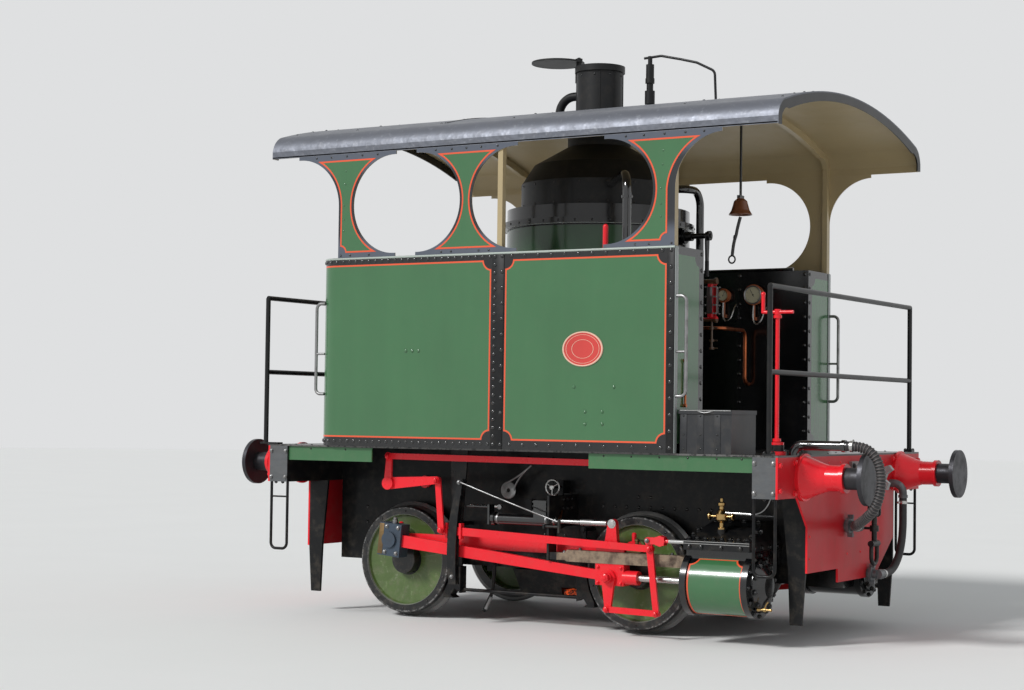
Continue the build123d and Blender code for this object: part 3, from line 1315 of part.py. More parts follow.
# Black pipes: riser to the smokebox, exhaust from the near tank, tank-top pipe and the brake pipe's end
riser_y, riser_z, riser_x0 = boiler_pads[3][0], boiler_pads[3][1], boiler_pads[3][3]
riser_radius = 28
riser_x = boiler_radius + 40
crossover_z = boiler_top + 142
condenser = (757, -1000)
condenser_reach = hypot(*condenser)
condenser_end = (smokebox_radius + 1.2) / condenser_reach
brake_pipe_y = -960
brake_pipe_z = rail_top + 1253
brake_pipe_radius = 31
brake_pipe_x = body_half_length - 33
brake_pipe_end = body_half_length + 319
with BuildPart() as black_pipes:
    add(pipe(((riser_x0, riser_y, riser_z), (riser_x, riser_y, riser_z), (riser_x, riser_y, crossover_z),
              (riser_x, 0, crossover_z), (smokebox_radius + 1, 0, crossover_z)), [50, 110, 100], riser_radius))
    add(pipe(((*condenser, tank_top), (*condenser, crossover_z),
              (condenser[0] * condenser_end, condenser[1] * condenser_end, crossover_z)), 130, 29))
    for low, high in ((tank_top, tank_top + 18), (tank_top + 356, tank_top + 372)):
        with Locations((*condenser, (low + high) / 2)):
            Cylinder(38, high - low)
    rod_along(420, 1138, tank_inner_y + 20, tank_top + 12, 12)
    add(pipe(((brake_pipe_x, brake_pipe_y, deck_top), (brake_pipe_x, brake_pipe_y, brake_pipe_z),
              (brake_pipe_end, brake_pipe_y, brake_pipe_z)), 58, brake_pipe_radius))
    rod_along(brake_pipe_end - 30, brake_pipe_end - 6, brake_pipe_y, brake_pipe_z, brake_pipe_radius + 7)
save(black_pipes.part, "black_pipes")

# Screw coupling hanging from the hook at the cylinder end
coupling_x = body_half_length + coupling_out
coupling_nut_z = coupling_pin_z - 250
shackle_z = coupling_nut_z - 200
shackle_low = shackle_z - 135
tommy_half = 98
with BuildPart() as screw_coupling:
    for side in both_sides:
        with BuildSketch(side_plane(side * (coupling_half - 22))):
            link_outline((coupling_x, coupling_pin_z), (coupling_x, coupling_nut_z), 52, 52)
            with Locations((coupling_x, coupling_pin_z)):
                Circle(coupling_pin + seat_gap, mode=Mode.SUBTRACT)
        extrude(amount=-side * 14)
    for height in (coupling_nut_z, shackle_z):
        pin_across(coupling_x, height, -coupling_half, coupling_half, 21)
    with Locations((coupling_x, 0, (coupling_nut_z + shackle_z) / 2)):
        Cylinder(18, coupling_nut_z - shackle_z)
    with Locations((coupling_x, 0, (coupling_nut_z + shackle_z) / 2)):
        Cylinder(30, 40)
    rod_along(coupling_x - tommy_half, coupling_x + 20, 0, (coupling_nut_z + shackle_z) / 2, 9)
    with Locations((coupling_x - tommy_half, 0, (coupling_nut_z + shackle_z) / 2)):
        Sphere(24)
    add(pipe(((coupling_x, -coupling_half + 14, shackle_z), (coupling_x, -coupling_half + 14, shackle_low),
              (coupling_x, coupling_half - 14, shackle_low), (coupling_x, coupling_half - 14, shackle_z)), 51, 14))
save(screw_coupling.part, "screw_coupling")

# Guard irons in front of the wheels and round-bar step stirrups at the four corners
guard_y = apron_half_width - 20
guard_plate = 20
# Distance in from the end of the body and height
guard_outline = (
    (14, beam_bottom), (14, rail_top + 442), (37, rail_top + 110), (117, rail_top + 110),
    (132, rail_top + 472), (177, beam_bottom),
)
step_inner = body_half_length - 164
step_outer = body_half_length - 22
step_y = body_half_width - 17
step_low = rail_top + 447
step_bar_z = rail_top + 817
step_radius = 10
with BuildPart() as guards_and_steps:
    for end in (-1, 1):
        for side in both_sides:
            with BuildSketch(side_plane(side * guard_y)):
                with BuildLine():
                    Polyline(*((end * (body_half_length - back), up) for back, up in guard_outline), close=True)
                make_face()
            extrude(amount=-side * guard_plate)
            add(pipe(((end * step_inner, side * step_y, beam_bottom), (end * step_inner, side * step_y, step_low),
                      (end * step_outer, side * step_y, step_low), (end * step_outer, side * step_y, beam_bottom)),
                     42, step_radius))
            rod_along(end * step_inner, end * step_outer, side * step_y, step_bar_z, 6)
save(guards_and_steps.part, "guards_and_steps")

# Fittings on the frame plates: drive disc, hand valve with its down pipe, oil box on a shelf, drain pipe
disc_x, disc_z = -304, rail_top + 894
valve_x, valve_z, valve_wheel_y = 105, rail_top + 929, 800
wheel_rim_radius = 52
shelf_z = rail_top + 740
drain_x = -440
with BuildPart() as frame_fittings:
    for side in both_sides:
        pin_across(disc_x, disc_z, side * frame_outer_y, side * 704, 15)
        pin_across(disc_x, disc_z, side * 688, side * 700, 62)
        block(valve_x - 26, valve_x + 26, side * frame_outer_y, side * 700, valve_z - 44, valve_z + 44)
        pin_across(valve_x, valve_z, side * 700, side * (valve_wheel_y + 8), 9)
        pin_across(valve_x, valve_z, side * (valve_wheel_y - 8), side * (valve_wheel_y + 8), 16)
        with Locations((valve_x, side * valve_wheel_y, valve_z)):
            Torus(wheel_rim_radius, 6, rotation=(90, 0, 0))
            for turn in range(3):
                Box(2 * wheel_rim_radius, 8, 9, rotation=(0, 30 + 60 * turn, 0))
        add(pipe(((valve_x + 12, side * 680, valve_z - 44), (valve_x + 12, side * 680, valve_z - 110),
                  (bracket_x - 12, side * 780, valve_z - 150), (bracket_x - 12, side * 780, rail_top + 664)),
                 [26, 30], 8))
        block(-152, -54, side * frame_outer_y, side * 776, shelf_z, shelf_z + 12)
        block(-128, -78, side * 716, side * 770, shelf_z + 12, shelf_z + 100)
        add(pipe(((drain_x, side * frame_outer_y, frame_bottom + 34), (drain_x, side * 648, frame_bottom + 34),
                  (drain_x - 20, side * 648, frame_bottom - 180), (drain_x - 92, side * 648, rail_top + 34)),
                 [26, 90], 13))
save(frame_fittings.part, "frame_fittings")


def cord_radii(points):
    """Arc radius at each corner: 0.45 of its shorter run over the tangent of half the turn."""
    radii = []
    for before, corner, after in zip(points, points[1:], points[2:]):
        first, second = Vector(*corner) - Vector(*before), Vector(*after) - Vector(*corner)
        radii.append(0.45 * min(first.length, second.length) / tan(radians(first.get_angle(second)) / 2))
    return radii


# Ribbed vacuum hose: over the buffer head, down in front of it and back to its coupling under the hook
vacuum_hose_radius = 32
vacuum_route = (
    (brake_pipe_end, brake_pipe_y, brake_pipe_z), (2350, brake_pipe_y, brake_pipe_z), (2410, -960, 1270),
    (2458, -958, 1235), (2490, -953, 1180), (2503, -946, 1110), (2502, -941, 1035), (2485, -934, 960),
    (2446, -915, 890), (2378, -860, 838), (2290, -735, 800), (2205, -575, 775), (2140, -420, 761),
    (2092, -300, 753), (2062, -185, 748),
)
# Smooth brake hose: from its elbow on the face plate down and round to the centre
brake_hose_radius = 27
brake_hose_y = 690
brake_hose_x = body_half_length + 95
brake_hose_top = rail_top + 877
brake_route = (
    (brake_hose_x, brake_hose_y, brake_hose_top), (brake_hose_x, brake_hose_y, 815), (2064, 686, 710),
    (2062, 668, 600), (2058, 620, 500), (2052, 530, 425), (2046, 420, 398), (2042, 330, 400),
)
for route, radius, name in ((vacuum_route, vacuum_hose_radius, "vacuum_hose"),
                            (brake_route, brake_hose_radius, "brake_hose")):
    radii = cord_radii(route)
    hose = pipe(route, radii, radius)
    hose_length = hose.volume / (3.14159265 * radius ** 2)
    print(name, "radii", [round(value) for value in radii], "length", round(hose_length))
    save(hose, name)

# Couplings at the hoses' ends, held on dummy plugs on the apron, and the brake hose's elbow
with BuildPart() as hose_couplings:
    for route, radius, dummy_y, dummy_z in ((vacuum_route, vacuum_hose_radius, -148, 745),
                                            (brake_route, brake_hose_radius, 262, 404)):
        last = Vector(*route[-1])
        heading = (last - Vector(*route[-2])).normalized()
        with BuildSketch(Plane(origin=last, z_dir=heading)):
            Circle(radius + 6)
        extrude(amount=74)
        rod_along(body_half_length, body_half_length + 20, dummy_y, dummy_z, radius + 6)
        rod_along(body_half_length + 20, body_half_length + 38, dummy_y, dummy_z, radius + 26)
        rod_along(body_half_length + 38, last.X - 8, dummy_y, dummy_z, radius + 2)
        for lug in (-1, 1):
            block(body_half_length + 16, body_half_length + 52, dummy_y - 13, dummy_y + 13,
                  dummy_z + lug * (radius + 14), dummy_z + lug * (radius + 42))
    add(pipe(((body_half_length, brake_hose_y, rail_top + 978), (brake_hose_x, brake_hose_y, rail_top + 978),
              (brake_hose_x, brake_hose_y, brake_hose_top)), 66, brake_hose_radius))
    with Locations((brake_hose_x, brake_hose_y, brake_hose_top + 12)):
        Cylinder(brake_hose_radius + 6, 20)
save(hose_couplings.part, "hose_couplings")
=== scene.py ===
"""Dresses the frame of a small steam tram engine: paint, lining, rivets, fittings and hoses."""
from functools import cache
from math import asin, atan2, cos, hypot, pi, radians, sin, sqrt

import bpy
from bpy.props import FloatProperty, FloatVectorProperty, PointerProperty
from mathutils import Matrix, Vector
from mathutils.bvhtree import BVHTree


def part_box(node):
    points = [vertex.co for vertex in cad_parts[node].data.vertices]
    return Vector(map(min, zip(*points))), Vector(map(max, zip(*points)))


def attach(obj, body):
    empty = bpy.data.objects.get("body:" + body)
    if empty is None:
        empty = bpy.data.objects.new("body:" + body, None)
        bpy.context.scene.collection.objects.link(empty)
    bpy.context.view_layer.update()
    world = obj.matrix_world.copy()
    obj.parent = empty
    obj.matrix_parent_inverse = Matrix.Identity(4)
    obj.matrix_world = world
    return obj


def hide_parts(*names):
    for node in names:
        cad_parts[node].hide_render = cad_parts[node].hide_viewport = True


bl_info = {
    "name": "Steam tram dresser",
    "version": (1, 0, 0),
    "blender": (4, 5, 0),
    "location": "View3D > Sidebar > Steam tram",
    "description": "Paints a steam tram engine and adds its lining, rivets, fittings and hoses",
    "category": "Object",
}

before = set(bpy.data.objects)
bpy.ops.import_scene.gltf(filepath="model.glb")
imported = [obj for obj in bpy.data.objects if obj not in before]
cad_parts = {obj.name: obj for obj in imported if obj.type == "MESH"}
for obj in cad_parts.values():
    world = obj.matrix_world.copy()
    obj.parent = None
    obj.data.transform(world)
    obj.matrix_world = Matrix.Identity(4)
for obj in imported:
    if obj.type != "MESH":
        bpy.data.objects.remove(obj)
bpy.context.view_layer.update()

NEAR, FAR = -1, 1
SIDES = ((NEAR, "near"), (FAR, "far"))
UP, DOWN, AHEAD, BACK = (0, 0, 1), (0, 0, -1), (1, 0, 0), (-1, 0, 0)


def middle(node):
    """Centre of a node's box."""
    return [(low + high) / 2 for low, high in zip(*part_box(node))]


# Places read from the frame, in metres
tank_low, tank_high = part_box("tank_near")
TANK_FACE, TANK_INNER = -tank_low.y, -tank_high.y
TANK_REAR, TANK_FRONT = tank_low.x, tank_high.x
DECK, TANK_TOP = tank_low.z, tank_high.z
roof_low, roof_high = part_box("roof")
EAVE, CROWN = roof_low.z, roof_high.z
DRIVING_X, _, AXLE_Z = middle("wheelset_driving")
COUPLED_X = middle("wheelset_coupled")[0]
BUFFER_Z, CYLINDER_Z = middle("buffer_casings")[2], middle("piston_rods")[2]

# Places that the frame's boxes don't give; lines towards a side of the engine start OUTSIDE its middle
OUTSIDE = 1.6
MOTION_Y, PUMP_Y, BUFFER_Y = 0.965, 0.950, 0.875
PUMP_Z = 0.738
CYLINDER_RADIUS, TANK_CORNER = 0.200, 0.150
BEND = TANK_REAR + TANK_CORNER
QUARTER = TANK_CORNER * pi / 2
PANEL_LOW, PANEL_HIGH = DECK + 0.060, TANK_TOP - 0.0525
REAR_PANEL_END = -0.097
FRONT_PANEL = (0.013, TANK_FRONT - 0.058)
END_PANEL_INNER = 0.955
CYLINDER_LINING_X = (1.297, 1.672)
CYLINDER_LINING_DOWN, CYLINDER_LINING_UP = -0.262, 0.190
CYLINDER_NOTCH = 0.052
CHEST_X = (1.285, 1.685)
WINDOW_MID = (TANK_TOP + EAVE) / 2


def srgb(red, green, blue):
    """Colour as it looks on screen, 0 to 255, as a linear colour."""
    def linear(level):
        share = level / 255
        return share / 12.92 if share <= 0.04045 else ((share + 0.055) / 1.055) ** 2.4
    return linear(red), linear(green), linear(blue)


def colour(name, description, *levels):
    return FloatVectorProperty(name=name, description=description, default=srgb(*levels),
                               subtype="COLOR", size=3, min=0, max=1)


def number(name, description, value, **limits):
    return FloatProperty(name=name, description=description, default=value, **limits)


def size(name, description, metres):
    return number(name, description, metres, unit="LENGTH", min=0)


def angle(name, description, degrees):
    return number(name, description, radians(degrees), subtype="ANGLE")


class TramColours(bpy.types.PropertyGroup):
    """Colours of the paint and the bare metals"""
    green: colour("Green", "Panels, wheels and cylinder cladding", 60, 108, 68)
    black: colour("Black", "Frames, edging and fittings", 13, 14, 16)
    red: colour("Red", "Rods, face plates and buffer casings", 236, 34, 46)
    lining: colour("Lining", "Thin lines round the panels", 230, 88, 50)
    cream: colour("Cream", "Inside of roof, hoops and window plates", 176, 158, 120)
    roof: colour("Roof", "Outside of the roof sheet", 104, 107, 115)
    border: colour("Border", "Edge of the window plates", 82, 88, 100)
    steel: colour("Steel", "Machined rods and spindles", 196, 196, 194)
    worn: colour("Worn steel", "Slide bars", 150, 132, 112)
    brass: colour("Brass", "Oilers, glands and cocks", 190, 158, 104)
    copper: colour("Copper", "Small pipes", 186, 104, 66)
    plate: colour("Name plate", "Ground of the oval plate", 206, 62, 56)
    plate_edge: colour("Plate edge", "Rim of the oval plate", 236, 190, 168)
    dial: colour("Dial", "Gauge faces", 222, 216, 186)
    rubber: colour("Rubber", "Hoses", 34, 34, 36)
    dust: colour("Dust", "Road dust and ash", 122, 112, 98)


class TramSizes(bpy.types.PropertyGroup):
    """Sizes of the repeated small parts"""
    rivet: size("Rivet radius", "Radius of a tank rivet's head", 0.0142)
    lining: size("Lining width", "Width of a lining stripe", 0.011)
    paint: size("Paint lift", "How far a stripe stands on its sheet", 0.0006)
    close_pitch: size("Close pitch", "Rivet spacing in the tight tank seams", 0.055)
    wide_pitch: size("Wide pitch", "Rivet spacing in the open tank seams", 0.106)
    notch: size("Notch", "Radius of the hollow corners of the lining", 0.060)


class TramStage(bpy.types.PropertyGroup):
    """Camera, floor and lamps"""
    azimuth: angle("Azimuth", "Turn of the camera round the engine", 31.10)
    pitch: angle("Pitch", "Upward tilt of the camera", 2.10)
    roll: angle("Roll", "Roll of the camera", 0.756)
    lens: number("Lens", "Focal length on a 36 mm wide frame", 67.38)
    place: FloatVectorProperty(name="Camera place", description="Where the camera stands", size=3,
                               default=(6.6261, -12.1724, 1.4446), subtype="TRANSLATION")
    key: number("Key", "Strength of the large lamp", 2.35, min=0)
    softness: angle("Softness", "Width of the large lamp as seen from the engine", 12)
    fill: number("Fill", "Power of the small lamp at the front", 20, min=0, subtype="POWER")
    sky: number("Sky", "Strength of the light from all round", 0.42, min=0, max=1)
    backdrop: colour("Backdrop", "Background that the camera sees", 223, 224, 225)
    floor_radius: size("Floor radius", "Radius of the pale floor", 60.0)


def tints():
    return bpy.context.scene.tram_colours


def sizes():
    return bpy.context.scene.tram_sizes


def math_step(operation, swapped=False):
    """A method that adds a Math node for its number and any others."""
    def method(self, *others):
        numbers = (*others, self) if swapped else (self, *others)
        return self.shade.node("ShaderNodeMath", {"operation": operation}, dict(enumerate(numbers)))
    return method


class Level:
    """A number's socket, whose arithmetic adds Math nodes to its material."""

    def __init__(self, shade, socket):
        self.shade, self.socket = shade, socket

    __add__ = __radd__ = math_step("ADD")
    __sub__ = math_step("SUBTRACT")
    __rsub__ = math_step("SUBTRACT", swapped=True)
    __mul__ = __rmul__ = math_step("MULTIPLY")
    __truediv__ = math_step("DIVIDE")
    __abs__ = math_step("ABSOLUTE")
    turn_from = math_step("ARCTAN2")
    root = math_step("SQRT")
    larger = math_step("MAXIMUM")
    smaller = math_step("MINIMUM")

    def above(self, edge, soft=0.0004):
        """0 below the edge and 1 above it, over a soft step."""
        sockets = {0: self, 1: edge - soft, 2: edge + soft, 3: 0.0, 4: 1.0}
        return self.shade.node("ShaderNodeMapRange", {"interpolation_type": "SMOOTHSTEP"}, sockets)

    def below(self, edge, soft=0.0004):
        return 1 - self.above(edge, soft)

    def between(self, low, high, soft=0.0004):
        return self.above(low, soft) * self.below(high, soft)


class Shade:
    """One material's node tree."""

    def __init__(self, name):
        self.material = bpy.data.materials.new(name)
        self.material.use_nodes = True
        self.tree = self.material.node_tree
        self.tree.nodes.clear()
        self.place = self.node("ShaderNodeTexCoord", out=3)

    def node(self, kind, settings=None, sockets=None, out=0):
        """Adds a node: its settings first, then the values or links of its sockets."""
        made = self.tree.nodes.new(kind)
        for key, value in (settings or {}).items():
            setattr(made, key, value)
        for key, value in (sockets or {}).items():
            if isinstance(value, Level):
                self.tree.links.new(value.socket, made.inputs[key])
            else:
                made.inputs[key].default_value = value
        return Level(self, made.outputs[out])

    def split(self, vector):
        """The three numbers of a vector."""
        parted = self.node("ShaderNodeSeparateXYZ", sockets={0: vector}).socket.node
        return [Level(self, socket) for socket in parted.outputs]

    def axes(self):
        return self.split(self.place)

    def facing(self):
        """The three numbers of the surface's direction."""
        return self.split(self.node("ShaderNodeNewGeometry", out=1))

    def noise(self, scale, detail=3.0, rough=0.55, stretch=None, where=None):
        """Smooth noise of so many patches a metre, from about 0 to 1."""
        if stretch:
            where = self.node("ShaderNodeMapping", sockets={"Vector": self.place, "Scale": stretch})
        return self.node("ShaderNodeTexNoise", sockets={"Vector": where or self.place, "Scale": scale,
                                                        "Detail": detail, "Roughness": rough})

    def mix(self, share, first, second):
        """First colour where share is 0 and second where it is 1."""
        sockets = {0: share, 6: full(first), 7: full(second)}
        return self.node("ShaderNodeMix", {"data_type": "RGBA"}, sockets, out=2)

    def toned(self, tint, value):
        """The colour made lighter or darker."""
        return self.node("ShaderNodeHueSaturation", sockets={"Value": value, "Color": full(tint)})

    def bump(self, height, metres, strength=1.0, under=None):
        sockets = {"Height": height, "Distance": metres, "Strength": strength}
        if under:
            sockets["Normal"] = under
        return self.node("ShaderNodeBump", sockets=sockets)

    def surface(self, base, roughness, normal, **others):
        """Ends the material in one principled shader, whose other sockets are named with underscores."""
        sockets = {"Base Color": base, "Roughness": roughness, "Normal": normal}
        sockets |= {key.replace("_", " "): value for key, value in others.items()}
        end = self.tree.nodes.new("ShaderNodeOutputMaterial")
        shader = self.node("ShaderNodeBsdfPrincipled", sockets=sockets)
        self.tree.links.new(shader.socket, end.inputs["Surface"])
        return self.material


def full(tint):
    """A colour as its shader socket wants it."""
    return tint if isinstance(tint, Level) or len(tint) == 4 else (*tint, 1.0)


def resolved(tint, shade):
    """A tint given by its name, by its levels on screen or by a function of the shade."""
    if callable(tint):
        return tint(shade)
    return getattr(tints(), tint) if isinstance(tint, str) else srgb(*tint)


def weathered(shade, tint, dusty=0.2, streaky=0.12):
    """Paint with soft blotches, runs down the sheet, and dust that thickens towards the rails."""
    height = shade.axes()[2]
    blotch = shade.noise(1.7, 4.0)
    runs = shade.noise(7.0, 3.0, stretch=(1.0, 1.0, 0.1))
    tone = shade.toned(tint, 1 + (blotch - 0.5) * 0.24 + (runs - 0.5) * streaky)
    low = height.below(0.75, 0.7)
    settled = shade.noise(14.0, 6.0, 0.65).above(0.60, 0.16) * (low * 0.75 + 0.25) * dusty
    return shade.mix(settled, tone, tints().dust), settled


def paint(tint, roughness=0.26, coat=0.35, dusty=0.2, streaky=0.12, ripple=0.0008, grain=0.00003,
          grain_scale=420.0, shine=0.5):
    """Makes brushed gloss paint on sheet metal or castings, once it is given its name."""
    def made(name):
        shade = Shade(name)
        base, settled = weathered(shade, resolved(tint, shade), dusty, streaky)
        gloss = roughness + (shade.noise(5.0, 4.0) - 0.5) * 0.16 + settled * 0.45
        waves = shade.bump(shade.noise(2.6, 1.0), ripple)
        normal = shade.bump(shade.noise(grain_scale, 2.0), grain, under=waves)
        return shade.surface(base, gloss, normal, Coat_Weight=coat, Coat_Roughness=0.12,
                             Specular_IOR_Level=shine)
    return made


def black(**changes):
    return paint("black", **{"roughness": 0.36, "coat": 0.10, "shine": 0.30, **changes})


def metal(tint, roughness=0.28, stained=0.35, stain=(58, 44, 34), scratch=(1.0, 1.0, 1.0), fine=160.0,
          metallic=1.0, depth=0.00006):
    """Makes bare metal with oil film, stains and fine scratches along one axis, once it is given its name."""
    def made(name):
        shade = Shade(name)
        film = shade.noise(11.0, 6.0, 0.62).above(0.56, 0.16) * stained
        scored = shade.noise(fine, 3.0, stretch=scratch)
        tone = shade.toned(resolved(tint, shade), 0.86 + scored * 0.28)
        gloss = roughness + (scored - 0.5) * 0.18 + film * 0.4
        return shade.surface(shade.mix(film, tone, srgb(*stain)), gloss, shade.bump(scored, depth),
                             Metallic=metallic - film * 0.8)
    return made


def panel_mask(along, height, x0, x1, z0, z1, notch, corners):
    """1 inside a panel whose named corners are hollowed by a quarter circle."""
    inside = along.between(x0, x1) * height.between(z0, z1)
    for corner_x, corner_z in corners:
        across, up = along - corner_x, height - corner_z
        inside = inside * (across * across + up * up).root().above(notch)
    return inside


def tank_tint(shade):
    """Green panels with hollow corners on the outside, black edging, black on the cab side and the top."""
    along, across, height = shade.axes()
    side = abs(across)

    def panel(distance, low, high, ends):
        corners = [(end, z) for end in ends for z in (PANEL_LOW, PANEL_HIGH)]
        return panel_mask(distance, height, low, high, PANEL_LOW, PANEL_HIGH, sizes().notch, corners)
    outside = side.above(TANK_FACE - 0.004)
    rear = panel(along, TANK_REAR - 0.1, REAR_PANEL_END, [REAR_PANEL_END])
    front = panel(along, *FRONT_PANEL, FRONT_PANEL)
    end = panel(side, END_PANEL_INNER, TANK_FACE + 0.1, [END_PANEL_INNER])
    behind = along.below(BEND) * end
    before = along.above(TANK_FRONT - 0.004) * end * side.below(TANK_FACE - 0.045)
    green = (outside * (rear + front)).larger(behind).larger(before)
    return shade.mix(green.smaller(1.0), tints().black, tints().green)


def window_tint(shade):
    """Border outside, painted dark as shade round mid-height and in its own colour near the top and bottom, and cream
    inside.
    """
    across, height = shade.axes()[1:]
    # painted shade: the border turns near black round mid-height and keeps its own colour only near its ends
    ends = abs(height - WINDOW_MID).above(0.235, 0.05)
    border = shade.mix(ends, srgb(26, 28, 33), tints().border)
    return shade.mix(abs(across).above(TANK_FACE - 0.003), tints().cream, border)


def roof_material(name):
    """Dark metallic paint outside, dented along the skirts, and cream underneath, told apart by facing."""
    shade = Shade(name)
    across, height = shade.axes()[1:]
    facing = shade.facing()
    inward = (facing[2] * -1).above(0.02, 0.01).larger((facing[1] * across * -1).above(0.02, 0.01))
    outside, dust = weathered(shade, tints().roof, 0.30, 0.16)
    inside = shade.toned(tints().cream, 0.86 + shade.noise(3.0, 4.0) * 0.24)
    scuffed = shade.noise(24.0, 5.0, 0.7).above(0.62, 0.08) * 0.4
    outside = shade.mix(scuffed, outside, srgb(148, 150, 156))
    gloss = 0.44 + (shade.noise(9.0, 4.0) - 0.5) * 0.26 + dust * 0.3
    dents = shade.bump(shade.noise(11.0, 2.0), 0.006, height.below(EAVE + 0.10, 0.06) * 0.9 + 0.1)
    normal = shade.bump(shade.noise(160.0, 3.0), 0.0001, under=dents)
    return shade.surface(shade.mix(inward, outside, inside), gloss, normal, Metallic=(1 - inward) * 0.65,
                         Specular_IOR_Level=0.4)


def wheel_material(name, axle_x):
    """Black tyre with a bright worn edge, green disc, dark hub and axle."""
    shade = Shade(name)
    along, across, height = shade.axes()
    ahead, up = along - axle_x, height - AXLE_Z
    radius = (ahead * ahead + up * up).root()
    side = abs(across)
    disc = radius.between(0.112, 0.318) * side.above(0.60, 0.004)
    tread = radius.above(0.3795, 0.0006)
    face = side.above(0.812, 0.002)
    rim = radius.between(0.362, 0.3785, 0.0015) * face
    scores = shade.noise(46.0, 4.0, 0.7, stretch=(1.0, 0.2, 1.0))
    spoke = shade.node("ShaderNodeCombineXYZ", sockets={0: ahead / radius, 1: up / radius})
    rays = shade.noise(9.0, 5.0, 0.75, where=spoke)
    blotch = shade.noise(7.0, 4.0)
    green = shade.toned(srgb(80, 102, 50), 0.66 + blotch * 0.5 + (rays - 0.5) * 0.5)
    rubbed = shade.noise(28.0, 5.0, 0.7).above(0.63, 0.07) * 0.3 + rays.above(0.66, 0.05) * 0.5
    green = shade.mix(rubbed, green, srgb(146, 158, 128))
    base = shade.mix(disc, tints().black, green)
    lip = radius.between(0.3165, 0.3225, 0.0012) * side.above(0.60, 0.004)
    worn = (tread * 0.35).larger(rim * scores.above(0.56, 0.12) * 0.6).larger(lip * scores.above(0.36, 0.2))
    base = shade.mix(worn * 0.85, base, tints().steel)
    dust = shade.noise(16.0, 6.0, 0.66).above(0.60, 0.14) * 0.32
    gloss = 0.34 + dust * 0.9 - worn * 0.06 + (scores - 0.5) * 0.14
    return shade.surface(shade.mix(dust, base, tints().dust), gloss, shade.bump(scores, 0.0003),
                         Metallic=worn * 0.9, Coat_Weight=0.15)


def boiler_tint(shade):
    """Green cladding with a black band near its top and black below the footplate and on the cab side; the cladding's
    green is darkened to half as painted shade.
    """
    along, _, height = shade.axes()
    clad = height.above(DECK + 0.05, 0.003) * height.below(2.770, 0.001)
    # painted shade: the boiler's green is a darker copy of the panel green, for the dim cab
    return shade.mix(clad * along.below(0.50, 0.004), tints().black, shade.toned(tints().green, 0.50))


def cylinder_tint(shade):
    """Green cladding between black end flanges."""
    along, across, height = shade.axes()
    out, up = abs(across) - MOTION_Y, height - CYLINDER_Z
    radius = (out * out + up * up).root()
    around = up.turn_from(out) * CYLINDER_RADIUS
    panel = panel_mask(along, around, *CYLINDER_LINING_X, CYLINDER_LINING_DOWN, CYLINDER_LINING_UP,
                       CYLINDER_NOTCH, [(x, CYLINDER_LINING_UP) for x in CYLINDER_LINING_X])
    return shade.mix(panel * radius.below(CYLINDER_RADIUS + 0.004, 0.001), tints().black, tints().green)


def valance_tint(shade):
    """Green valance under a black plate with a worn edge."""
    _, across, height = shade.axes()
    side = abs(across)
    edge = side.above(1.2845, 0.0008) * height.above(DECK - 0.0125, 0.0006)
    rubbed = shade.noise(30.0, 5.0, 0.7).above(0.44, 0.08)
    low = height.below(DECK - 0.0135, 0.0004) * side.above(1.25, 0.002)
    base = shade.mix(low, tints().black, tints().green)
    return shade.mix(edge * rubbed * 0.7, base, srgb(112, 110, 108))


def gauge_tint(shade):
    """Copper cases on the tank, red frame round the water glass, dark cocks."""
    _, across, height = shade.axes()
    framed = across.below(0.40, 0.001) * height.between(2.152, 2.402, 0.001)
    base = shade.mix(framed, srgb(96, 70, 48), tints().red)
    return shade.mix(across.above(0.60, 0.001), base, tints().copper)


def bell_tint(shade):
    """Bronze bell under a black rod."""
    return shade.mix(shade.axes()[2].above(2.972, 0.002), srgb(116, 66, 40), tints().black)


def fork_tint(shade):
    """Red fork and bright spindle."""
    return shade.mix(shade.axes()[0].above(1.112, 0.0008), tints().red, srgb(176, 176, 174))


def apron_tint_painted_shade(shade):
    """Red edges, and the red darkened on the front and back faces as painted shade."""
    ends = abs(shade.facing()[0]).above(0.9, 0.02)
    # painted shade: faces turned along the engine get a darker copy of the red
    return shade.mix(ends, tints().red, shade.toned(tints().red, 0.62))


def beam_tint(shade):
    """Black beams, worn grey on their outer ends."""
    end = abs(shade.facing()[1]).above(0.9, 0.02)
    worn = shade.toned(srgb(88, 90, 92), 0.62 + shade.noise(30.0, 5.0, 0.7, stretch=(0.4, 1.0, 1.0)) * 0.8)
    return shade.mix(end, tints().black, worn)


def rubber_material():
    """Black rubber, paler and duller on the crests of its ribs, where the paler tone is a painted highlight."""
    shade = Shade("hose_rubber")
    highlight_crest = shade.node("ShaderNodeAttribute", {"attribute_name": "rib"}, out=2)
    patches = shade.noise(18.0, 5.0, 0.6)
    chalk = patches.above(0.50, 0.2) * 0.30
    base = shade.mix(chalk, tints().rubber, srgb(84, 80, 78))
    # painted highlight: the rib crests are mixed towards a pale pinkish grey
    base = shade.mix(highlight_crest.above(0.90, 0.08) * (0.25 + patches * 0.8), base, srgb(134, 124, 122))
    return shade.surface(base, 0.44 + chalk * 0.5, shade.bump(shade.noise(500.0, 2.0), 0.00008),
                         Specular_IOR_Level=0.4)


def ember_material():
    """Glowing grate seen through the ash pan's opening."""
    shade = Shade("ember_glow")
    lumps = shade.noise(34.0, 5.0, 0.7).above(0.54, 0.09)
    glow = shade.mix(lumps, srgb(20, 14, 12), srgb(232, 84, 30))
    base = shade.mix(lumps, srgb(36, 32, 30), srgb(150, 60, 30))
    return shade.surface(base, 0.9, shade.bump(lumps, 0.004), Emission_Color=glow, Emission_Strength=0.9)


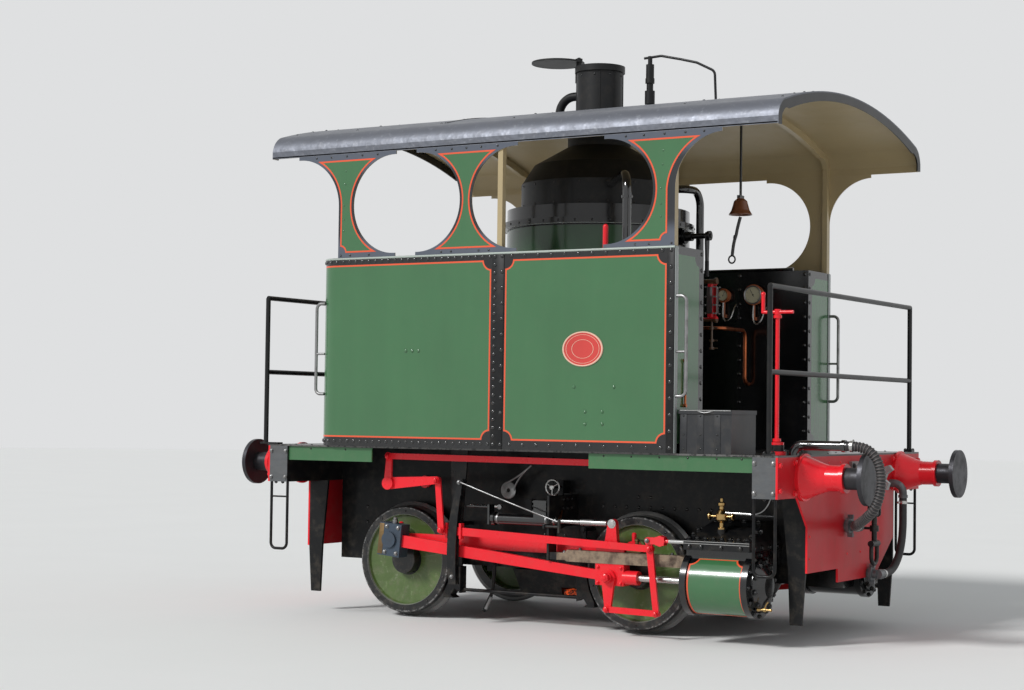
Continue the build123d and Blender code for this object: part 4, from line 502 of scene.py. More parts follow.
FINISHES = {
    "tank_paint": paint(tank_tint, 0.22, 0.45, 0.10, 0.16, 0.0012),
    "window_paint": paint(window_tint, 0.30, 0.3, 0.10, 0.12),
    "roof_paint": roof_material,
    "boiler_paint": paint(boiler_tint, 0.20, 0.4, 0.10, shine=0.35),
    "cylinder_paint": paint(cylinder_tint, 0.18, 0.5, 0.10),
    "footplate_paint": paint(valance_tint, 0.34, 0.2, 0.35),
    "beam_paint": paint(beam_tint, 0.40, 0.10, 0.30, 0.25, shine=0.35),
    "apron_paint": paint(apron_tint_painted_shade, 0.40, 0.05, 0.20, 0.20, shine=0.25),
    "fork_metal": paint(fork_tint, 0.24, 0.4, 0.08),
    "gauge_metal": paint(gauge_tint, 0.32, 0.3),
    "bell_cast": paint(bell_tint, 0.30, 0.2, 0.2, 0.3, 0.0),
    "green_paint": paint("green", 0.24, 0.4, 0.12),
    "red_paint": paint("red", 0.28, 0.15, 0.12, 0.10, shine=0.3),
    "cream_paint": paint("cream", 0.38, 0.15, 0.22, 0.14),
    "lining_paint": paint("lining", 0.30, 0.3, 0.04, 0.05, 0.0),
    "rivet_green": paint("green", 0.16, 0.6, 0.05, 0.05, 0.0),
    "dial_face": paint("dial", 0.30, 0.2, 0.05, 0.06, 0.0),
    "plate_ground": paint("plate", 0.36, 0.2, 0.10, 0.25, 0.0, 0.0004, 130.0),
    "plate_rim": paint("plate_edge", 0.36, 0.2, 0.10, 0.10, 0.0),
    "roof_bolt": paint((58, 60, 64), 0.30, 0.3, 0.2, ripple=0.0),
    "edge_grey": paint((150, 150, 148), 0.38, 0.2, 0.5, 0.3, 0.0),
    "strip_grey": paint((150, 156, 154), 0.36, 0.2, 0.20),
    "box_grey": paint((27, 29, 33), 0.46, 0.05, 0.5, 0.25, 0.0015),
    "bead_paint": paint((168, 178, 170), 0.32, 0.3, 0.10, 0.05, 0.0),
    "gauge_glass": paint((88, 76, 74), 0.10, 0.8, 0.05, 0.20, 0.0),
    "black_paint": black(),
    "rivet_black": black(roughness=0.16, coat=0.6, shine=0.6, ripple=0.0, dusty=0.06),
    "bolt_black": black(roughness=0.28, coat=0.3, shine=0.45, ripple=0.0),
    "gloss_black": black(roughness=0.12, coat=0.9, shine=0.6, ripple=0.002, dusty=0.08),
    "frame_black": black(roughness=0.46, dusty=0.22, shine=0.2, grain=0.00012, grain_scale=180.0),
    "cast_black": black(roughness=0.42, dusty=0.30, grain=0.00022, grain_scale=150.0),
    "sooty_black": black(roughness=0.52, coat=0.1, dusty=0.25, grain=0.00015, grain_scale=220.0),
    "bright_steel": metal("steel", 0.24, 0.30),
    "dull_steel": metal((150, 150, 150), 0.36, 0.50, (48, 40, 34)),
    "slide_steel": metal("worn", 0.44, 1.0, (58, 42, 32), (1.0, 1.0, 0.15), 70.0, 0.6, 0.0006),
    "blue_steel": metal((70, 82, 96), 0.40, 0.45, (28, 28, 30), fine=80.0, metallic=0.6, depth=0.0003),
    "buffer_steel": metal((62, 62, 66), 0.40, 0.55, (30, 26, 24), fine=60.0, metallic=0.8, depth=0.0002),
    "plug_grey": metal((120, 122, 124), 0.42, 0.55, (40, 40, 42), metallic=0.7, depth=0.0003),
    "brass": metal("brass", 0.22, 0.20, (92, 62, 28)),
    "bronze": metal((128, 106, 74), 0.40, 0.55, (76, 58, 40), depth=0.0002),
    "bell_metal": metal((150, 96, 62), 0.34, 0.45, (64, 40, 28)),
    "copper": metal("copper", 0.28, 0.35, (84, 44, 30)),
}

# Record slot of a trim finish, where it isn't the finish's own name
SLOTS = {
    "lining_paint": "red_paint", "plate_ground": "red_paint", "plate_rim": "cream_paint",
    "dial_face": "cream_paint", "rivet_green": "green_paint", "bead_paint": "green_paint",
    "rivet_black": "black_paint", "bolt_black": "black_paint", "cast_black": "black_paint",
    "box_grey": "black_paint", "roof_bolt": "roof_paint", "strip_grey": "grey_steel",
    "edge_grey": "grey_steel", "dull_steel": "bright_steel", "bronze": "brass", "bell_metal": "brass",
    "gauge_glass": "brass",
}

NODE_FINISHES = {
    "tank_paint": "tank_near tank_far",
    "window_paint": "window_plates_near window_plates_far",
    "roof_paint": "roof",
    "cream_paint": "roof_hoops",
    "boiler_paint": "boiler",
    "cylinder_paint": "cylinders",
    "footplate_paint": "footplate",
    "apron_paint": "face_plates",
    "red_paint": "buffer_casings coupling_rod_near coupling_rod_far connecting_rods crossheads radius_rods "
                 "combination_levers reach_rod weighshaft handbrake",
    "black_paint": "handrails roof_end_rims regulator steam_chests",
    "gloss_black": "feed_pumps black_pipes",
    "beam_paint": "end_beams",
    "frame_black": "frames axleboxes brake_gear ashpan guards_and_steps frame_fittings",
    "cast_black": "motion_brackets expansion_links screw_coupling",
    "plug_grey": "hose_couplings",
    "sooty_black": "smokebox chimney exhaust_elbow chimney_lid firehole_door whistle",
    "box_grey": "locker locker_lid",
    "bright_steel": "piston_rods",
    "fork_metal": "valve_crossheads",
    "dull_steel": "grab_irons draw_hooks",
    "slide_steel": "slide_bars",
    "blue_steel": "big_ends",
    "buffer_steel": "buffers",
    "brass": "glands_and_oilers",
    "copper": "copper_pipes",
    "bell_cast": "bell",
    "gauge_metal": "gauges",
}


@cache
def finish(name):
    """The material of that name, made at its first use."""
    return FINISHES[name](name)


def clear_selection():
    if bpy.context.object and bpy.context.object.mode != "OBJECT":
        bpy.ops.object.mode_set(mode="OBJECT")
    bpy.ops.object.select_all(action="DESELECT")


def activate(piece):
    clear_selection()
    piece.select_set(True)
    bpy.context.view_layer.objects.active = piece


def edit(piece):
    """Opens the piece in edit mode with everything selected."""
    activate(piece)
    bpy.ops.object.mode_set(mode="EDIT")
    bpy.ops.mesh.select_all(action="SELECT")


def done_editing():
    bpy.ops.object.mode_set(mode="OBJECT")


def settled(name, angle=35):
    """The active object, its place moved into its mesh and its gentle edges smooth."""
    piece = bpy.context.object
    bpy.ops.object.transform_apply(location=True, rotation=True, scale=True)
    bpy.ops.object.shade_smooth_by_angle(angle=radians(angle))
    piece.name = piece.data.name = name
    return piece


def own(piece, material, slot=None, body="root"):
    """Gives the piece its finish and the body it moves with; its record slot is looked up but not stored."""
    slot = slot or SLOTS.get(material, material)
    piece.data.materials.clear()
    piece.data.materials.append(finish(material) if isinstance(material, str) else material)
    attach(piece, body)
    return piece


def turn_to(direction):
    return Vector(direction).to_track_quat("Z", "Y")


def linked(name, data):
    """A new object in the scene."""
    made = bpy.data.objects.new(name, data)
    bpy.context.scene.collection.objects.link(made)
    return made


def raw(name, points, faces, edges=()):
    """A new piece with just these points, faces and edges."""
    mesh = bpy.data.meshes.new(name)
    mesh.from_pydata(points, edges, faces)
    return linked(name, mesh)


def cleaned():
    """Merges the doubles of the piece in edit mode and turns its faces outward."""
    bpy.ops.mesh.remove_doubles(threshold=0.00001)
    bpy.ops.mesh.normals_make_consistent(inside=False)
    done_editing()


def box_piece(name, corner, other, bevel=0.002):
    """Block between two opposite corners with rounded edges."""
    clear_selection()
    corner, other = Vector(corner), Vector(other)
    bpy.ops.mesh.primitive_cube_add(size=1, location=(corner + other) / 2)
    bpy.context.object.scale = [abs(length) for length in other - corner]
    bpy.ops.object.transform_apply(location=False, rotation=False, scale=True)
    edit(bpy.context.object)
    bpy.ops.mesh.bevel(offset=bevel, segments=2, affect="EDGES")
    done_editing()
    return settled(name)


def turned_piece(name, profile, place=(0, 0, 0), direction=UP, steps=24):
    """Solid of revolution: (radius, height) points spun round the direction through the place."""
    piece = raw(name, [(radius, 0, height) for radius, height in profile], [],
                [(i, i + 1) for i in range(len(profile) - 1)])
    edit(piece)
    bpy.ops.mesh.spin(steps=steps, angle=2 * pi, center=(0, 0, 0), axis=(0, 0, 1))
    bpy.ops.mesh.select_all(action="SELECT")
    cleaned()
    piece.rotation_mode = "QUATERNION"
    piece.rotation_quaternion = turn_to(direction)
    piece.location = place
    return settled(name)


def mm(*numbers):
    """A profile from radius, height, radius, height and so on, in millimetres."""
    metres = [value / 1000 for value in numbers]
    return list(zip(metres[::2], metres[1::2]))


def sleeve(inner, outer, length, ease=0):
    """Profile of a sleeve in millimetres, its outer edges eased."""
    return mm(inner, 0, outer, ease, outer, length - ease, inner, length, inner, 0)


def joined(name, pieces):
    """Several new pieces as one."""
    activate(pieces[0])
    for piece in pieces[1:]:
        piece.select_set(True)
    bpy.ops.object.join()
    piece = bpy.context.object
    piece.name = piece.data.name = name
    return piece


def nut(across):
    """Nut on a thin washer with the stud's rounded end, standing on the XY plane."""
    height = across * 0.42
    clear_selection()
    bpy.ops.mesh.primitive_cylinder_add(vertices=6, radius=across / 2, depth=height,
                                        location=(0, 0, height / 2 + 0.0015))
    edit(bpy.context.object)
    bpy.ops.mesh.bevel(offset=across * 0.05, segments=1, affect="EDGES")
    done_editing()
    return joined("nut", [
        settled("nut"),
        turned_piece("washer", ((0, 0.002), (across * 0.6, 0.002), (across * 0.62, 0), (0, 0)), steps=14),
        turned_piece("stud", ((0, height + 0.007), (across * 0.2, height + 0.005), (across * 0.24, height)),
                     steps=10)])


def rivet(radius):
    """Snap head rivet standing on the XY plane."""
    turns = (0, pi / 6, pi / 3, pi / 2)
    return turned_piece("rivet", [(radius * cos(a), radius * 0.62 * sin(a)) for a in turns], steps=8)


def spread(name, master, places, material="bolt_black", slot=None, body="root"):
    """Copies a master to (place, direction) pairs as one joined mesh, and deletes the master."""
    points, faces, smooth = [], [], []
    for place, direction in places:
        turn, start = turn_to(direction), len(points)
        points += [Vector(place) + turn @ v.co for v in master.data.vertices]
        faces += [[start + i for i in p.vertices] for p in master.data.polygons]
        smooth += [p.use_smooth for p in master.data.polygons]
    piece = raw(name, points, faces)
    piece.data.polygons.foreach_set("use_smooth", smooth)
    activate(piece)
    bpy.ops.object.shade_smooth_by_angle(angle=radians(50))
    bpy.data.objects.remove(master)
    return own(piece, material, slot, body)


def row(start, end, pitch):
    """Evenly spaced places from start to end, about a pitch apart."""
    start, end = Vector(start), Vector(end)
    count = max(1, round((end - start).length / pitch))
    return [start.lerp(end, i / count) for i in range(count + 1)]


def circle(radius, count, first=0.0):
    """Corners of a regular outline round the origin."""
    turns = [first + 2 * pi * i / count for i in range(count)]
    return [(radius * cos(a), radius * sin(a)) for a in turns]


def ring(centre, radius, count, direction, first=0.0):
    """Places on a circle round a direction."""
    turn = turn_to(direction)
    return [Vector(centre) + turn @ Vector((*spot, 0)) for spot in circle(radius, count, first)]


def hollow(x, z, start, notch, inset=0.0, steps=8):
    """Points of a corner hollowed by a quarter circle, clockwise from the start angle, drawn in by the inset."""
    lean, reach = asin(inset / (notch + inset)), notch + inset
    turns = [radians(start) - lean - (pi / 2 - 2 * lean) * i / steps for i in range(steps + 1)]
    return [(x + reach * cos(a), z + reach * sin(a)) for a in turns]


def hollowed(x0, x1, z0, z1, notch, inset=0.0, corners=(True,) * 4, cuts=()):
    """Rectangle drawn in by the inset, its chosen corners, anticlockwise from low left, hollowed; the cuts are
    extra points along its level edges."""
    points = []
    places = ((x0, z0, 90, 1, 1), (x1, z0, 180, -1, 1), (x1, z1, 270, -1, -1), (x0, z1, 0, 1, -1))
    for index, ((x, z, start, right, up), is_hollow) in enumerate(zip(places, corners)):
        points += hollow(x, z, start, notch, inset) if is_hollow else [(x + right * inset, z + up * inset)]
        if index in (0, 2):
            level = points[-1][1]
            points += [(cut, level) for cut in sorted(cuts, reverse=index == 2)]
    return points


def uprights(points, heights):
    """The loop with extra points at these heights on its upright edges."""
    made = []
    for here, after in zip(points, points[1:] + points[:1]):
        made.append(here)
        if abs(here[0] - after[0]) < 1e-6 and abs(here[1] - after[1]) > 0.1:
            made += [(here[0], z) for z in sorted(heights, reverse=after[1] < here[1])]
    return made


def flat_side(face_y):
    """Maps a flat outline to an upright sheet facing the sign of its Y."""
    out = 1 if face_y > 0 else -1
    return lambda x, z, lift: Vector((x, face_y + out * lift, z))


def tank_wrap(side):
    """Maps distance along a tank's outside, which turns round the rear corner, to the sheet."""
    def place(along, height, lift):
        turned = BEND - along
        if turned <= 0:
            return Vector((along, side * (TANK_FACE + lift), height))
        around = min(turned, QUARTER) / TANK_CORNER
        reach = TANK_CORNER + lift
        y = TANK_FACE - TANK_CORNER + reach * cos(around) - max(0, turned - QUARTER)
        return Vector((BEND - reach * sin(around), side * y, height))
    return place


def barrel_wrap(side):
    """Maps distance along a cylinder and height round its barrel to its surface."""
    def place(along, around, lift):
        turn, reach = around / CYLINDER_RADIUS, CYLINDER_RADIUS + lift
        return Vector((along, side * (MOTION_Y + reach * cos(turn)), CYLINDER_Z + reach * sin(turn)))
    return place


def curved(name, points, steps, closed=False, **look):
    """Mesh of a smooth curve through a few given points."""
    curve = bpy.data.curves.new(name, "CURVE")
    curve.dimensions = "3D"
    spline = curve.splines.new("NURBS")
    spline.points.add(len(points) - 1)
    for point, target in zip(spline.points, points):
        point.co = (*target, 1)
    spline.order_u = 3
    spline.use_endpoint_u = not closed
    spline.use_cyclic_u = closed
    for key, value in {"resolution_u": steps, **look}.items():
        setattr(curve, key, value)
    holder = linked(name + "_line", curve)
    mesh = bpy.data.meshes.new_from_object(holder.evaluated_get(bpy.context.evaluated_depsgraph_get()))
    bpy.data.objects.remove(holder)
    return mesh


def piped(name, points, radius, closed=False, sides=10):
    """Smooth round bar along a curve."""
    mesh = curved(name, points, 8, closed, bevel_depth=radius, bevel_resolution=max(1, sides // 4),
                  use_fill_caps=not closed)
    activate(linked(name, mesh))
    return settled(name, 50)


def bar(name, points, radius, material="bright_steel", **how):
    return own(piped(name, points, radius), material, **how)


def resampled(route, pitch):
    """Points about a pitch apart along a route's smooth line, and the line's length."""
    line = [v.co.copy() for v in curved("route", route, 10).vertices]
    lengths = [0.0]
    for before, after in zip(line, line[1:]):
        lengths.append(lengths[-1] + (after - before).length)
    count = max(2, round(lengths[-1] / pitch))
    points, index = [], 0
    for i in range(count + 1):
        target = lengths[-1] * i / count
        while index < len(line) - 2 and lengths[index + 1] < target:
            index += 1
        share = (target - lengths[index]) / max(1e-9, lengths[index + 1] - lengths[index])
        points.append(line[index].lerp(line[index + 1], share))
    return points, lengths[-1]


def hose_mesh(name, points, radius_at, sides=28):
    """Tube round close points, its radius given for each; rings keep turning with the line."""
    rings, faces = [], []
    widths = [radius_at(i) for i in range(len(points))]
    low, high = min(widths), max(widths)
    crests = [(width - low) / (high - low) if high > low else 0.0 for width in widths for _ in range(sides)]
    heading = (points[1] - points[0]).normalized()
    across = heading.orthogonal().normalized()
    for i, point in enumerate(points):
        ahead = (points[min(i + 1, len(points) - 1)] - points[max(i - 1, 0)]).normalized()
        heading, across = ahead, heading.rotation_difference(ahead) @ across
        other = heading.cross(across)
        rings += [point + (across * c + other * s) * widths[i] for c, s in circle(1, sides)]
    for i in range(len(points) - 1):
        for k in range(sides):
            low, high = i * sides, (i + 1) * sides
            faces.append((low + k, low + (k + 1) % sides, high + (k + 1) % sides, high + k))
    faces += [tuple(reversed(range(sides))), tuple(range((len(points) - 1) * sides, len(points) * sides))]
    piece = raw(name, rings, faces)
    piece.data.attributes.new("rib", "FLOAT", "POINT").data.foreach_set("value", crests)
    edit(piece)
    bpy.ops.mesh.normals_make_consistent(inside=False)
    done_editing()
    return settled(name, 60)


def meshed(name, points, faces):
    """Closed mesh from points and faces, its doubles merged and its faces turned outward."""
    edit(raw(name, points, faces))
    cleaned()
    return settled(name, 30)


def ribbon(name, outer, inner, lift, place):
    """Closed stripe between two loops of as many points; place maps (along, up, lift) to the sheet."""
    count = len(outer)
    points = [place(x, z, height) for loop, height in ((outer, 0.0), (outer, lift), (inner, lift), (inner, 0.0))
              for x, z in loop]
    faces = []
    for i in range(count):
        after = (i + 1) % count
        for loop in range(4):
            low, high = loop * count, (loop + 1) % 4 * count
            faces.append((low + i, low + after, high + after, high + i))
    return meshed(name, points, faces)


def sheet(name, outline, lift, place):
    """Thin sheet of a flat outline, laid on the surface that place maps it to."""
    count = len(outline)
    points = [place(x, z, height) for height in (0.0, lift) for x, z in outline]
    faces = [tuple(reversed(range(count))), tuple(range(count, 2 * count))]
    faces += [(i, (i + 1) % count, count + (i + 1) % count, count + i) for i in range(count)]
    piece = meshed(name, points, faces)
    edit(piece)
    bpy.ops.mesh.quads_convert_to_tris()
    done_editing()
    return piece


# Lines that met none of their nodes, printed at the end
missed = []


@cache
def tree(node):
    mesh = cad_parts[node].data
    return BVHTree.FromPolygons([v.co for v in mesh.vertices], [p.vertices[:] for p in mesh.polygons])


def landing(nodes, start, direction):
    """Where a straight line from start first meets one of the nodes, and which way the surface faces there."""
    direction = Vector(direction).normalized()
    best = None
    for node in nodes.split():
        place, facing, _, reach = tree(node).ray_cast(Vector(start), direction)
        if place and (best is None or reach < best[2]):
            best = (place, -facing if facing.dot(direction) > 0 else facing, reach)
    if best is None:
        missed.append((nodes, tuple(round(v, 3) for v in start)))
        return None
    return best[:2]


def landings(nodes, lines):
    """Where (start, direction) lines meet the nodes."""
    return [place for place in (landing(nodes, *line) for line in lines) if place]


def fastened(name, master, nodes, starts, direction, material="bolt_black", slot=None, body="root"):
    """Copies of a master where lines from the starts meet the nodes, standing off the surface."""
    return spread(name, master, landings(nodes, [(start, direction) for start in starts]), material, slot, body)


# Routes of the hoses' centre lines, from the pipe end to the coupling on the apron
VACUUM_ROUTE = (
    (2.286, -0.960, 1.281), (2.350, -0.960, 1.281), (2.410, -0.960, 1.270), (2.458, -0.958, 1.235),
    (2.490, -0.953, 1.180), (2.503, -0.946, 1.110), (2.502, -0.941, 1.035), (2.485, -0.934, 0.960),
    (2.446, -0.915, 0.890), (2.378, -0.860, 0.838), (2.290, -0.735, 0.800), (2.205, -0.575, 0.775),
    (2.140, -0.420, 0.761), (2.092, -0.300, 0.753), (2.062, -0.185, 0.748),
)
BRAKE_ROUTE = (
    (2.062, 0.690, 0.905), (2.062, 0.690, 0.815), (2.064, 0.686, 0.710), (2.062, 0.668, 0.600),
    (2.058, 0.620, 0.500), (2.052, 0.530, 0.425), (2.046, 0.420, 0.398), (2.042, 0.330, 0.400),
)
VACUUM_RADIUS, BRAKE_RADIUS = 0.032, 0.027
RIB_PITCH, RIB_RINGS, RIB_HEIGHT = 0.020, 6, 0.006
CUFF = 0.060
CLAMP_WIDTH = 0.022


def clamp(name, place, direction, radius):
    """Bright band clamp with its screw box."""
    heading = Vector(direction).normalized()
    half = CLAMP_WIDTH / 2
    profile = ((radius - 0.001, -half), (radius + 0.0015, -half), (radius + 0.003, -half + 0.002),
               (radius + 0.003, half - 0.002), (radius + 0.0015, half), (radius - 0.001, half),
               (radius - 0.001, -half))
    band = turned_piece(name + "_band", profile, place, heading, 36)
    side = heading.orthogonal().normalized()
    seat = Vector(place) + side * (radius + 0.008)
    screw = turned_piece(name + "_screw", mm(0, -16, 6, -16, 6, 12, 4.5, 16, 0, 16), seat, heading.cross(side), 12)
    return joined(name, [band, screw])


class TRAM_OT_hoses(bpy.types.Operator):
    """Lay the ribbed vacuum hose and the smooth brake hose, with their clamps"""
    bl_idname = "tram.hoses"
    bl_label = "Hoses"

    def execute(self, context):
        rubber = rubber_material()
        line, length = resampled(VACUUM_ROUTE, RIB_PITCH / RIB_RINGS)
        plain = round(CUFF / (RIB_PITCH / RIB_RINGS))

        def ribbed(i):
            if i < plain or i > len(line) - plain:
                return VACUUM_RADIUS - 0.0015
            return VACUUM_RADIUS - RIB_HEIGHT * (0.5 - 0.5 * cos(2 * pi * (i - plain) / RIB_RINGS))
        hose = own(hose_mesh("vacuum_hose_ribbed", line, ribbed), rubber, "rubber")
        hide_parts("vacuum_hose")
        clamps = self.clamps("vacuum_clamp", line, 10, VACUUM_RADIUS)
        line, length = resampled(BRAKE_ROUTE, 0.010)
        hose = own(hose_mesh("brake_hose_smooth", line, lambda i: BRAKE_RADIUS), rubber, "rubber")
        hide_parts("brake_hose")
        clamps = self.clamps("brake_clamp", line, 3, BRAKE_RADIUS)
        return {"FINISHED"}

    def clamps(self, name, line, inset, radius):
        """A clamp near each end of a hose."""
        made = []
        for end, index in (("top", inset), ("low", len(line) - 1 - inset)):
            band = clamp(f"{name}_{end}", line[index], line[index + 1] - line[index - 1], radius)
            made.append(own(band, "bright_steel"))
        return made


class TRAM_OT_paint(bpy.types.Operator):
    """Give every node of the frame its finish"""
    bl_idname = "tram.paint"
    bl_label = "Paint"

    def execute(self, context):
        finishes = {node: finish(name) for name, nodes in NODE_FINISHES.items() for node in nodes.split()}
        finishes["wheelset_driving"] = wheel_material("driving_wheel_paint", DRIVING_X)
        finishes["wheelset_coupled"] = wheel_material("coupled_wheel_paint", COUPLED_X)
        missing = sorted(set(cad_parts) - set(finishes) - {"vacuum_hose", "brake_hose"})
        if missing:
            raise RuntimeError(f"no finish for {missing}")
        for node, material in finishes.items():
            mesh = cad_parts[node].data
            mesh.materials.clear()
            mesh.materials.append(material)
        return {"FINISHED"}


class BothSides:
    """Trims the near side and then the far one."""

    def execute(self, context):
        for side, name in SIDES:
            self.trim(side, name)
        return {"FINISHED"}


class TRAM_OT_tank_trim(BothSides, bpy.types.Operator):
    """Line the tanks, lay their seams and rivets and the bead along the top edge"""
    bl_idname = "tram.tank_trim"
    bl_label = "Tank trim"

    strip_lift = 0.004
    seam = (-0.088, 0.004)
    rear_row_end = -0.11
    plate_place = (0.609, 1.880)
    plate_squash = 0.76
    panel_bolts = (
        (0.545, 1.634), (0.838, 1.635), (0.629, 1.475), (0.755, 1.475), (0.630, 1.395), (0.756, 1.396),
        (-0.777, 1.876), (-0.725, 1.876), (-0.673, 1.876))

    def trim(self, side, name):
        self.lining(side, name)
        self.strips(side, name)
        self.rivets(side, name)
        self.plate(side, name)

    def lining(self, side, name):
        end_along = BEND - QUARTER - (TANK_FACE - TANK_CORNER - END_PANEL_INNER)
        cuts = [BEND - QUARTER * i / 12 for i in range(13)]
        stripes = []
        for label, low, high, cut, place in (
                ("rear", end_along, REAR_PANEL_END, cuts, tank_wrap(side)),
                ("front", *FRONT_PANEL, (), flat_side(side * TANK_FACE))):
            loops = [hollowed(low, high, PANEL_LOW, PANEL_HIGH, sizes().notch, inset, cuts=cut)
                     for inset in (0.0, sizes().lining)]
            stripes.append(ribbon(f"{label}_panel_lining", *loops, sizes().paint, place))
        own(joined(f"tank_lining_{name}", stripes), "lining_paint")

    def strips(self, side, name):
        out, lifted = side * TANK_FACE, side * (TANK_FACE + self.strip_lift)
        low, high = DECK + 0.001, TANK_TOP - 0.004
        strips = [box_piece("strip", (x0, out, low), (x1, lifted, high), 0.0012)
                  for x0, x1 in (self.seam, (TANK_FRONT - 0.052, TANK_FRONT))]
        own(joined(f"tank_strips_{name}", strips), "black_paint")
        own(box_piece(f"tank_end_angle_{name}", (TANK_FRONT, side * (TANK_FACE - 0.042), low),
                      (TANK_FRONT + 0.005, out, high), 0.0015), "strip_grey")
        along = [TANK_FRONT] + [BEND - step * TANK_CORNER * pi / 8 for step in range(5)]
        along.append(along[-1] - (TANK_FACE - TANK_CORNER - TANK_INNER))
        points = [tank_wrap(side)(a, TANK_TOP - 0.008, 0.001) for a in along]
        own(piped(f"tank_bead_{name}", points, 0.008, sides=12), "bead_paint")

    def rivets(self, side, name):
        close, wide = sizes().close_pitch, sizes().wide_pitch
        wrap, out = tank_wrap(side), Vector((0, side, 0))
        face, inner = side * TANK_FACE, side * TANK_INNER
        high, low = TANK_TOP - 0.028, DECK + 0.034
        end_along = BEND - QUARTER - (TANK_FACE - TANK_CORNER - TANK_INNER) + 0.03
        span = self.rear_row_end - end_along
        places = []
        for height in (high, low):
            count = round(span / close)
            for along in [end_along + span * i / count for i in range(count + 1)]:
                foot = wrap(along, height, 0.0)
                places.append((foot, (wrap(along, height, 1.0) - foot).normalized()))
            places += [(p, out) for p in row((0.06, face, height), (TANK_FRONT - 0.09, face, height), wide)]

        def upright(x, y, pitch, way):
            places.extend([(p, way) for p in row((x, y, low), (x, y, high), pitch)])
        for x, pitch in ((-0.066, close), (-0.010, wide), (TANK_FRONT - 0.026, wide)):
            upright(x, side * (TANK_FACE + self.strip_lift), pitch, out)
        for x, way in ((TANK_FRONT, AHEAD), (TANK_REAR, BACK)):
            upright(x, side * (TANK_INNER + 0.028), wide, way)
        for x in (TANK_FRONT - 0.03, 0.72, 0.10, -0.60, TANK_REAR + 0.03):
            upright(x, inner, wide, -out)
        spread(f"tank_rivets_{name}", rivet(sizes().rivet), places, "rivet_black")
        places = [((x, face, z), out) for x, z in self.panel_bolts]
        spread(f"tank_panel_rivets_{name}", rivet(0.0135), places, "rivet_green")

    def plate(self, side, name):
        """Oval plate with a raised pale rim on a tinted ground, and no lettering."""
        for part, profile in (
                ("ground", mm(0, 0, 146, 0, 146, 5, 0, 5)),
                ("rim", mm(138, 4, 138, 7.5, 140, 9, 147, 9, 150, 6, 150, 0, 138, 0, 138, 4)),
                ("inner", mm(121, 4, 121, 6.5, 124, 6.5, 124, 4, 121, 4)),
                ("centre", mm(78, 4, 78, 6.5, 81, 6.5, 81, 4, 78, 4))):
            piece = turned_piece(f"oval_plate_{part}_{name}", profile, steps=64)
            edit(piece)
            bpy.ops.transform.resize(value=(1.0, self.plate_squash, 1.0))
            done_editing()
            x, z = self.plate_place
            stood = Matrix.Rotation(radians(-side * 90), 4, "X")
            piece.data.transform(Matrix.Translation((x, side * TANK_FACE, z)) @ stood)
            own(piece, "plate_ground" if part == "ground" else "plate_rim")


# Window plates: waists between round-ended openings
WAISTS = ((-1.364, -1.238), (-0.355, -0.260), (1.106, 1.260))
WINDOW_ARC = 0.342
LINING_INSET = 0.018
LAST_WAIST_INSET = 0.052


class TRAM_OT_window_trim(BothSides, bpy.types.Operator):
    """Paint the green fields of the window plates, line them and add their bolts"""
    bl_idname = "tram.window_trim"
    bl_label = "Window plates"

    field_low, field_high = TANK_TOP + 0.035, EAVE - 0.041
    notch = 0.045

    def trim(self, side, name):
        face = flat_side(side * TANK_FACE)
        stripes, fields = [], []
        for index in range(len(WAISTS)):
            outer, inner = self.field(index, 0.0), self.field(index, sizes().lining)
            fields.append(sheet(f"field_{index}", outer, sizes().paint, face))
            stripes.append(ribbon(f"waist_lining_{index}", outer, inner, 2 * sizes().paint, face))
        own(joined(f"window_fields_{name}", fields), "green_paint")
        own(joined(f"window_lining_{name}", stripes), "lining_paint")
        waist = [(x0 + share * (x1 - x0), z) for x0, x1 in WAISTS[::2]
                 for share, z in ((0.36, 2.72), (0.36, 2.80), (0.36, 2.90), (0.42, 3.05), (0.45, 3.14))]
        edge = [(x, EAVE - 0.016) for x0, x1 in WAISTS
                for x in (x0 - 0.20, x0 - 0.07, (x0 + x1) / 2, x1 + 0.07, x1 + 0.20)]
        edge += [(x, TANK_TOP + 0.016) for x in (-1.34, -1.26, -1.10, -0.50, -0.42, -0.20, -0.12, 0.98, 1.08, 1.24)]
        for label, spots, material in (("bolts", waist, "rivet_green"), ("edge_bolts", edge, "bolt_black")):
            places = [((x, side * TANK_FACE, z), (0, side, 0)) for x, z in spots]
            spread(f"window_{label}_{name}", rivet(0.008), places, material)

    def edge(self, waist_edge, way, low, high, border, steps=20):
        """Points up one hollow side of a field; way points from the field to the opening."""
        centre = waist_edge + way * WINDOW_ARC
        points = []
        for i in range(steps + 1):
            z = low + (high - low) * i / steps
            share = min(1.0, abs(z - WINDOW_MID) / (EAVE - WINDOW_MID))
            reach = WINDOW_ARC + border(share)
            points.append((centre - way * sqrt(max(0.0, reach ** 2 - (z - WINDOW_MID) ** 2)), z))
        return points

    def field(self, index, inset):
        """Outline of a field drawn in by the inset, anticlockwise from its low left corner."""
        x0, x1 = WAISTS[index]
        low, high = self.field_low + inset, self.field_high - inset
        plain = lambda share: LINING_INSET + inset
        wide = lambda share: LINING_INSET + (LAST_WAIST_INSET - LINING_INSET) * (1 - share) + inset
        points = []
        if index == 0:
            points += hollow(x0 + LINING_INSET, self.field_low, 90, self.notch, inset)
        if index == 2:
            points += hollow(x1 - LAST_WAIST_INSET, self.field_low, 180, self.notch, inset)
            points += self.edge(x1, 1, WINDOW_MID, high, wide)
        else:
            points += self.edge(x1, 1, low, high, plain)
        left = self.edge(x0, -1, WINDOW_MID if index == 0 else low, high, plain)
        return points + left[::-1]


ROOF_SEAM = -0.600
HOOP_PLACES = (-1.362, -0.060, 1.222)


